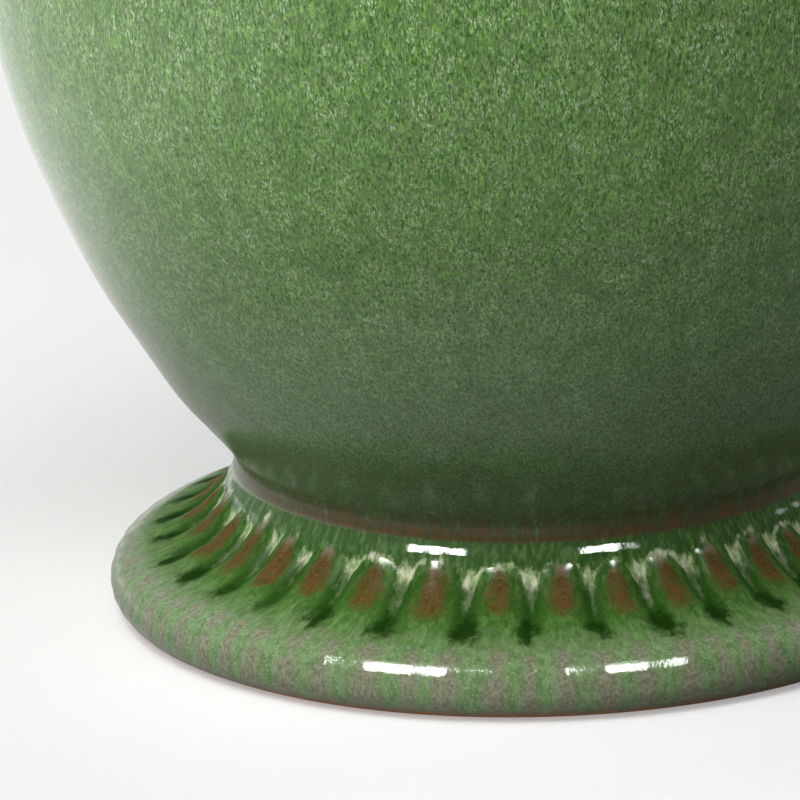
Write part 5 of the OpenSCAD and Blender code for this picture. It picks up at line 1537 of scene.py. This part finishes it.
def make_plug():
    rot = np.array(Matrix.Rotation(math.radians(90), 3, "X"))
    at = np.array([PX, PY + 1.2, PZ])

    def place(v):
        return np.asarray(v, float) @ rot.T + at
    # one moulded body: ribbed strain relief that swells into a waisted block
    n, rows = 72, []
    for t in np.linspace(0, 24, 97):
        if t < 9:
            rib = 0.45 * (1 - sstep(0.0, 0.35, abs(((t - 0.7) % 2.0) - 1.0) - 0.45)) if 1.6 < t < 8.2 else 0
            a = b = 3.75 + 0.11 * t - rib
            p = 2.0
        else:
            k = float(sstep(9, 11.5, t))
            w = 9.0 + 2.5 * float(sstep(14.0, 16.0, t)) - 0.5 * math.exp(-((t - 13.0) / 1.4) ** 2)
            hgt = 5.6 + 1.4 * float(sstep(14.0, 16.0, t)) - 0.35 * math.exp(-((t - 13.0) / 1.4) ** 2)
            if 10.2 < t < 15.0:
                hgt -= 0.45 * (0.5 + 0.5 * math.cos(TAU * (t - 10.6) / 1.6)) ** 2
            a = 4.75 * (1 - k) + w * k
            b = 4.75 * (1 - k) + hgt * k
            p = 2 + 2.6 * k
        if t > 23.2:
            e = (t - 23.2) / 0.8
            a -= 0.8 * (1 - math.sqrt(max(0, 1 - e * e)))
            b -= 0.8 * (1 - math.sqrt(max(0, 1 - e * e)))
        if t < 0.5:
            a -= 0.5 - t
            b -= 0.5 - t
        rows.append((t, a, b, p))
    V, F = [], []
    th = np.arange(n) * TAU / n
    for t, a, b, p in rows:
        c, s = np.cos(th), np.sin(th)
        x = a * np.sign(c) * np.abs(c) ** (2 / p)
        y = b * np.sign(s) * np.abs(s) ** (2 / p)
        V.append(np.stack([x, y, np.full(n, t)], 1))
    V = np.vstack(V)
    for i in range(len(rows) - 1):
        for j in range(n):
            k = (j + 1) % n
            F.append((i * n + j, i * n + k, (i + 1) * n + k, (i + 1) * n + j))
    F += [tuple(range(n)), tuple((len(rows) - 1) * n + j for j in range(n))]
    o = build("plug_moulded", place(V), F, "base", "cord_vinyl", VINYL, ["plug_body"])
    cs = []
    for s in (-1, 1):
        out = rounded([(s * 6.35 - 0.8, -3.25, 0.2), (s * 6.35 + 0.8, -3.25, 0.2), (s * 6.35 + 0.8, 3.25, 0.2), (s * 6.35 - 0.8, 3.25, 0.2)], seg=2)
        v, f = prism(out, 12.0, 30)
        cs.append(temp_mesh(place(v), f))
    cut(o, cs)
    o.data.set_sharp_from_angle(angle=math.radians(40))
    # blades with a round hole and softened tips
    V, F = [], []
    for s in (-1, 1):
        out = rounded([(-3.18, 12.1), (3.18, 12.1), (3.18, 40.6, 1.3), (-3.18, 40.6, 1.3)], seg=4)
        v, f = prism(out, -0.75, 0.75)
        v = v[:, [2, 0, 1]] + np.array([s * 6.35, 0, 0])
        F += [tuple(i + len(V) for i in g) for g in f]
        V += list(v)
    o = build("plug_prongs", place(V), F, "base", "blade_brass", BLADE, ["plug_blades"])
    v, f = lathe_vf([(0, -12), (1.5, -12), (1.5, 12), (0, 12)], 32, closed=False)
    v = v @ np.array(Matrix.Rotation(math.radians(90), 3, "Y")).T + np.array([0, 0, 37.2])
    cut(o, [temp_mesh(place(v), f)])
    b = o.modifiers.new("bevel", "BEVEL")
    b.width, b.segments, b.limit_method, b.angle_limit = 0.22 * MM, 2, "ANGLE", math.radians(40)
    o.data.set_sharp_from_angle(angle=math.radians(40))


make_plug()

# =====================================================================
# CAD nodes that stay: materials, and softened edges
# =====================================================================
KEEP = {
    "lock_washer": STEEL, "bottom_washer": STEEL, "rubber_washer": RUBBER, "cap_setscrew": STEEL,
    "shell_liner": FIBRE, "socket_interior": PHENOLIC, "center_contact": CONTACT, "terminal_screws": CONTACT,
    "lead_wires": LEAD, "switch_cam": CONTACT, "bulb_mount": CLEAR,
}
for n, o in frame["nodes"].items():
    if o.hide_render:
        continue
    mat = KEEP.get(n, STEEL)
    o.data.materials.clear()
    o.data.materials.append(mat.m)
    if n not in ("bulb_mount", "lead_wires"):
        b = o.modifiers.new("edge", "BEVEL")
        b.width, b.segments, b.limit_method, b.angle_limit = 0.15 * MM, 2, "ANGLE", math.radians(35)


# =====================================================================
# stage, light, camera
# =====================================================================
def floor_material():
    """White to the camera, with a painted pool of light round the foot and a painted brighter stretch in front; to the
    lamp, a paler floor behind and to the left and a darker one elsewhere.
    """
    m = Mat("floor")
    f = m.noise(m.scaled(3.0), 1.0, 3.0, 0.5)
    lp = m.node("ShaderNodeLightPath")
    x, y, z = m.xyz()
    r = m.math("SQRT", m.add(m.mul(x, x), m.mul(y, y)))
    # painted light: a soft bright ring on the floor round the foot, strongest in front and to the left
    d = m.mul(m.math("SUBTRACT", r, 0.075), 1 / 0.036)
    painted_light_pool = m.math("EXPONENT", m.mul(m.mul(d, d), -1.0))
    painted_light_pool = m.mul(painted_light_pool, m.rng(m.math("SUBTRACT", m.mul(y, -1.0), m.mul(x, 0.4)), -0.06, 0.03, 0.35, 1.0, True))
    v = m.add(m.mul(painted_light_pool, 0.200), m.rng(f, 0.0, 1.0, 0.672, 0.690))
    # painted light: a slightly brighter stretch of floor in front of the foot
    v = m.add(v, m.mul(m.rng(y, -0.085, -0.13, 0.0, 1.0, True), m.mul(m.rng(x, -0.09, -0.02, 0.0, 1.0, True), 0.045)))
    col = m.comb(v, v, v)
    side = m.rng(m.add(m.mul(x, -0.86), m.mul(y, 0.50)), 0.00, 0.25, 0.15, 0.84, True)
    near = m.mul(m.mul(m.rng(r, 0.17, 0.095, 0.0, 1.0, True), 0.42), m.rng(x, -0.02, 0.07, 1.0, 0.15, True))
    side = m.math("MAXIMUM", side, near)
    away = m.mix(1.0, (0, 0, 0), m.comb(side, side, side))
    far = m.rng(r, 0.60, 1.50, 0.0, 1.0, True)
    inv = m.math("SUBTRACT", 1.0, far)
    dim = m.mix(1.0, (0, 0, 0), m.comb(m.mul(v, inv), m.mul(v, inv), m.mul(v, inv)))
    col = m.mix(lp.outputs["Is Camera Ray"], away, dim)
    m.bsdf(color=col, rough=0.9, spec=0.1, emit=(0.84, 0.84, 0.84), emit_k=m.mul(far, lp.outputs["Is Camera Ray"]))
    return m


bm = bmesh.new()
bmesh.ops.create_circle(bm, cap_ends=True, segments=96, radius=30)
me = bpy.data.meshes.new("floor")
bm.to_mesh(me)
bm.free()
floor = bpy.data.objects.new("floor", me)
floor.location = (0, 0, -0.0001)
scene.collection.objects.link(floor)
me.materials.append(floor_material().m)
floor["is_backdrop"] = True

world = bpy.data.worlds.new("studio")
scene.world = world
world.use_nodes = True
wt = world.node_tree
wt.nodes.clear()


def world_nodes():
    n = wt.nodes.new
    out, bg, lp = n("ShaderNodeOutputWorld"), n("ShaderNodeBackground"), n("ShaderNodeLightPath")
    geo, sp = n("ShaderNodeNewGeometry"), n("ShaderNodeSeparateXYZ")
    wt.links.new(geo.outputs["Incoming"], sp.inputs[0])

    def rng(src, a, b, c, d):
        r = n("ShaderNodeMapRange")
        r.clamp = True
        r.interpolation_type = "SMOOTHSTEP"
        wt.links.new(src, r.inputs[0])
        for i, v in enumerate((a, b, c, d)):
            r.inputs[i + 1].default_value = v
        return r.outputs[0]

    def mixf(f, a, b):
        r = n("ShaderNodeMix")
        r.data_type = "FLOAT"
        for sck, v in zip((r.inputs[0], r.inputs[2], r.inputs[3]), (f, a, b)):
            if isinstance(v, bpy.types.NodeSocket):
                wt.links.new(v, sck)
            else:
                sck.default_value = v
        return r.outputs[0]
    # Incoming points from the sky towards the lamp, so +x here is the sky on the left
    glossy = rng(sp.outputs[0], -0.35, 0.75, 0.14, 0.52)
    dot = n("ShaderNodeVectorMath")
    dot.operation = "DOT_PRODUCT"
    wt.links.new(geo.outputs["Incoming"], dot.inputs[0])
    dot.inputs[1].default_value = Vector((0.86, 0.46, -0.20)).normalized()
    diffuse = rng(dot.outputs["Value"], -0.25, 1.0, 0.07, 0.66)
    v = mixf(lp.outputs["Is Glossy Ray"], 0.84, glossy)
    v = mixf(lp.outputs["Is Diffuse Ray"], v, diffuse)
    bg.inputs[0].default_value = (1.0, 1.0, 1.0, 1.0)
    wt.links.new(v, bg.inputs[1])
    wt.links.new(bg.outputs[0], out.inputs[0])


world_nodes()

TARGET = Vector((0.0, 0.0, 0.06))
LAMP_ONLY = bpy.data.collections.new("lamp_only")
FLOOR_ONLY = bpy.data.collections.new("floor_only")
FLOOR_ONLY.objects.link(floor)


def area(name, az, el, dist, w, h, watts, target=TARGET, link=None, shadow=True, color=(1, 1, 1)):
    a, e = math.radians(az), math.radians(el)
    back = Vector((math.sin(a) * math.cos(e), -math.cos(a) * math.cos(e), math.sin(e)))
    l = bpy.data.lights.new(name, "AREA")
    l.shape = "RECTANGLE"
    l.size, l.size_y = w, h
    l.energy = watts
    l.color = color
    l.use_shadow = shadow
    o = bpy.data.objects.new(name, l)
    o.location = target + back * dist
    o.rotation_mode = "QUATERNION"
    o.rotation_quaternion = (-back).to_track_quat("-Z", "Y")
    scene.collection.objects.link(o)
    if link is not None:
        o.light_linking.receiver_collection = link
    return o


CAM_T = Vector((-0.0241, 0.0, 0.036))
CAM_E = math.radians(16.0)
CAM_BACK = Vector((0.0, -math.cos(CAM_E), math.sin(CAM_E)))
CAM_POS = CAM_T + CAM_BACK * 1.134


def panel(name, spot, az0, az1, el0, el1, radiance, dist=1.3):
    """A soft box placed where glaze facing az0..az1, el0..el1 at the spot shows it to the camera."""
    spot = Vector(spot)
    v = (CAM_POS - spot).normalized()

    def at(az, el):
        a, e = math.radians(az), math.radians(el)
        n = Vector((math.cos(e) * math.sin(a), -math.cos(e) * math.cos(a), math.sin(e)))
        return spot + (2 * v.dot(n) * n - v) * dist
    am, em = (az0 + az1) / 2, (el0 + el1) / 2
    c = at(am, em)
    wv, hv = at(az1, em) - at(az0, em), at(am, el1) - at(am, el0)
    z = (c - spot).normalized()
    x = (wv - z * wv.dot(z)).normalized()
    y = z.cross(x)
    l = bpy.data.lights.new(name, "AREA")
    l.shape = "RECTANGLE"
    l.size, l.size_y = wv.length, hv.length
    l.energy = radiance * math.pi * wv.length * hv.length
    o = bpy.data.objects.new(name, l)
    o.matrix_world = Matrix.Translation(c) @ Matrix((x, y, z)).transposed().to_4x4()
    o.visible_diffuse = False
    scene.collection.objects.link(o)
    o.light_linking.receiver_collection = LAMP_ONLY
    return o


def make_lights():
    for o in scene.objects:
        if o.type == "MESH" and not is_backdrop(o) and not o.hide_render:
            LAMP_ONLY.objects.link(o)
    for k in (area("key_left", -42, 56, 1.3, 0.66, 0.80, 11.0, link=LAMP_ONLY),
              area("key_right", 19, 56, 1.3, 0.40, 0.80, 3.6, link=LAMP_ONLY)):
        k.visible_glossy = False
    panel("box_left", (-0.022, -0.062, 0.018), -25.0, -13.0, 30.0, 59.0, 52)
    panel("box_right", (0.010, -0.064, 0.018), 6.0, 14.5, 30.0, 59.0, 52)
    panel("box_gap", (-0.010, -0.070, 0.012), -8.2, -6.0, 46.0, 57.0, 30)
    area("back_left", -140, 30, 1.4, 0.9, 0.9, 6, link=LAMP_ONLY).visible_glossy = False
    area("back_right", 125, 35, 1.6, 0.9, 0.9, 6, link=LAMP_ONLY)
    area("floor_even", 0, 89, 3.0, 3.5, 3.5, 84, link=FLOOR_ONLY, shadow=False)
    area("floor_soft", -30, 60, 2.2, 1.6, 1.6, 20, link=FLOOR_ONLY)
    area("floor_halo", 0, 88, 1.0, 0.5, 0.5, 2.2, link=FLOOR_ONLY, shadow=False)


make_lights()

cam = bpy.data.cameras.new("camera")
cam.sensor_width = 36.0
cam.lens = 283.5
cam.clip_start, cam.clip_end = 0.05, 60
camo = bpy.data.objects.new("camera", cam)
_q = (-CAM_BACK).to_track_quat("-Z", "Y").to_matrix().to_4x4()
camo.matrix_world = Matrix.Translation(CAM_POS) @ _q @ Matrix.Rotation(math.radians(-1.85), 4, "Z")
scene.collection.objects.link(camo)
scene.camera = camo

bpy.context.view_layer.update()
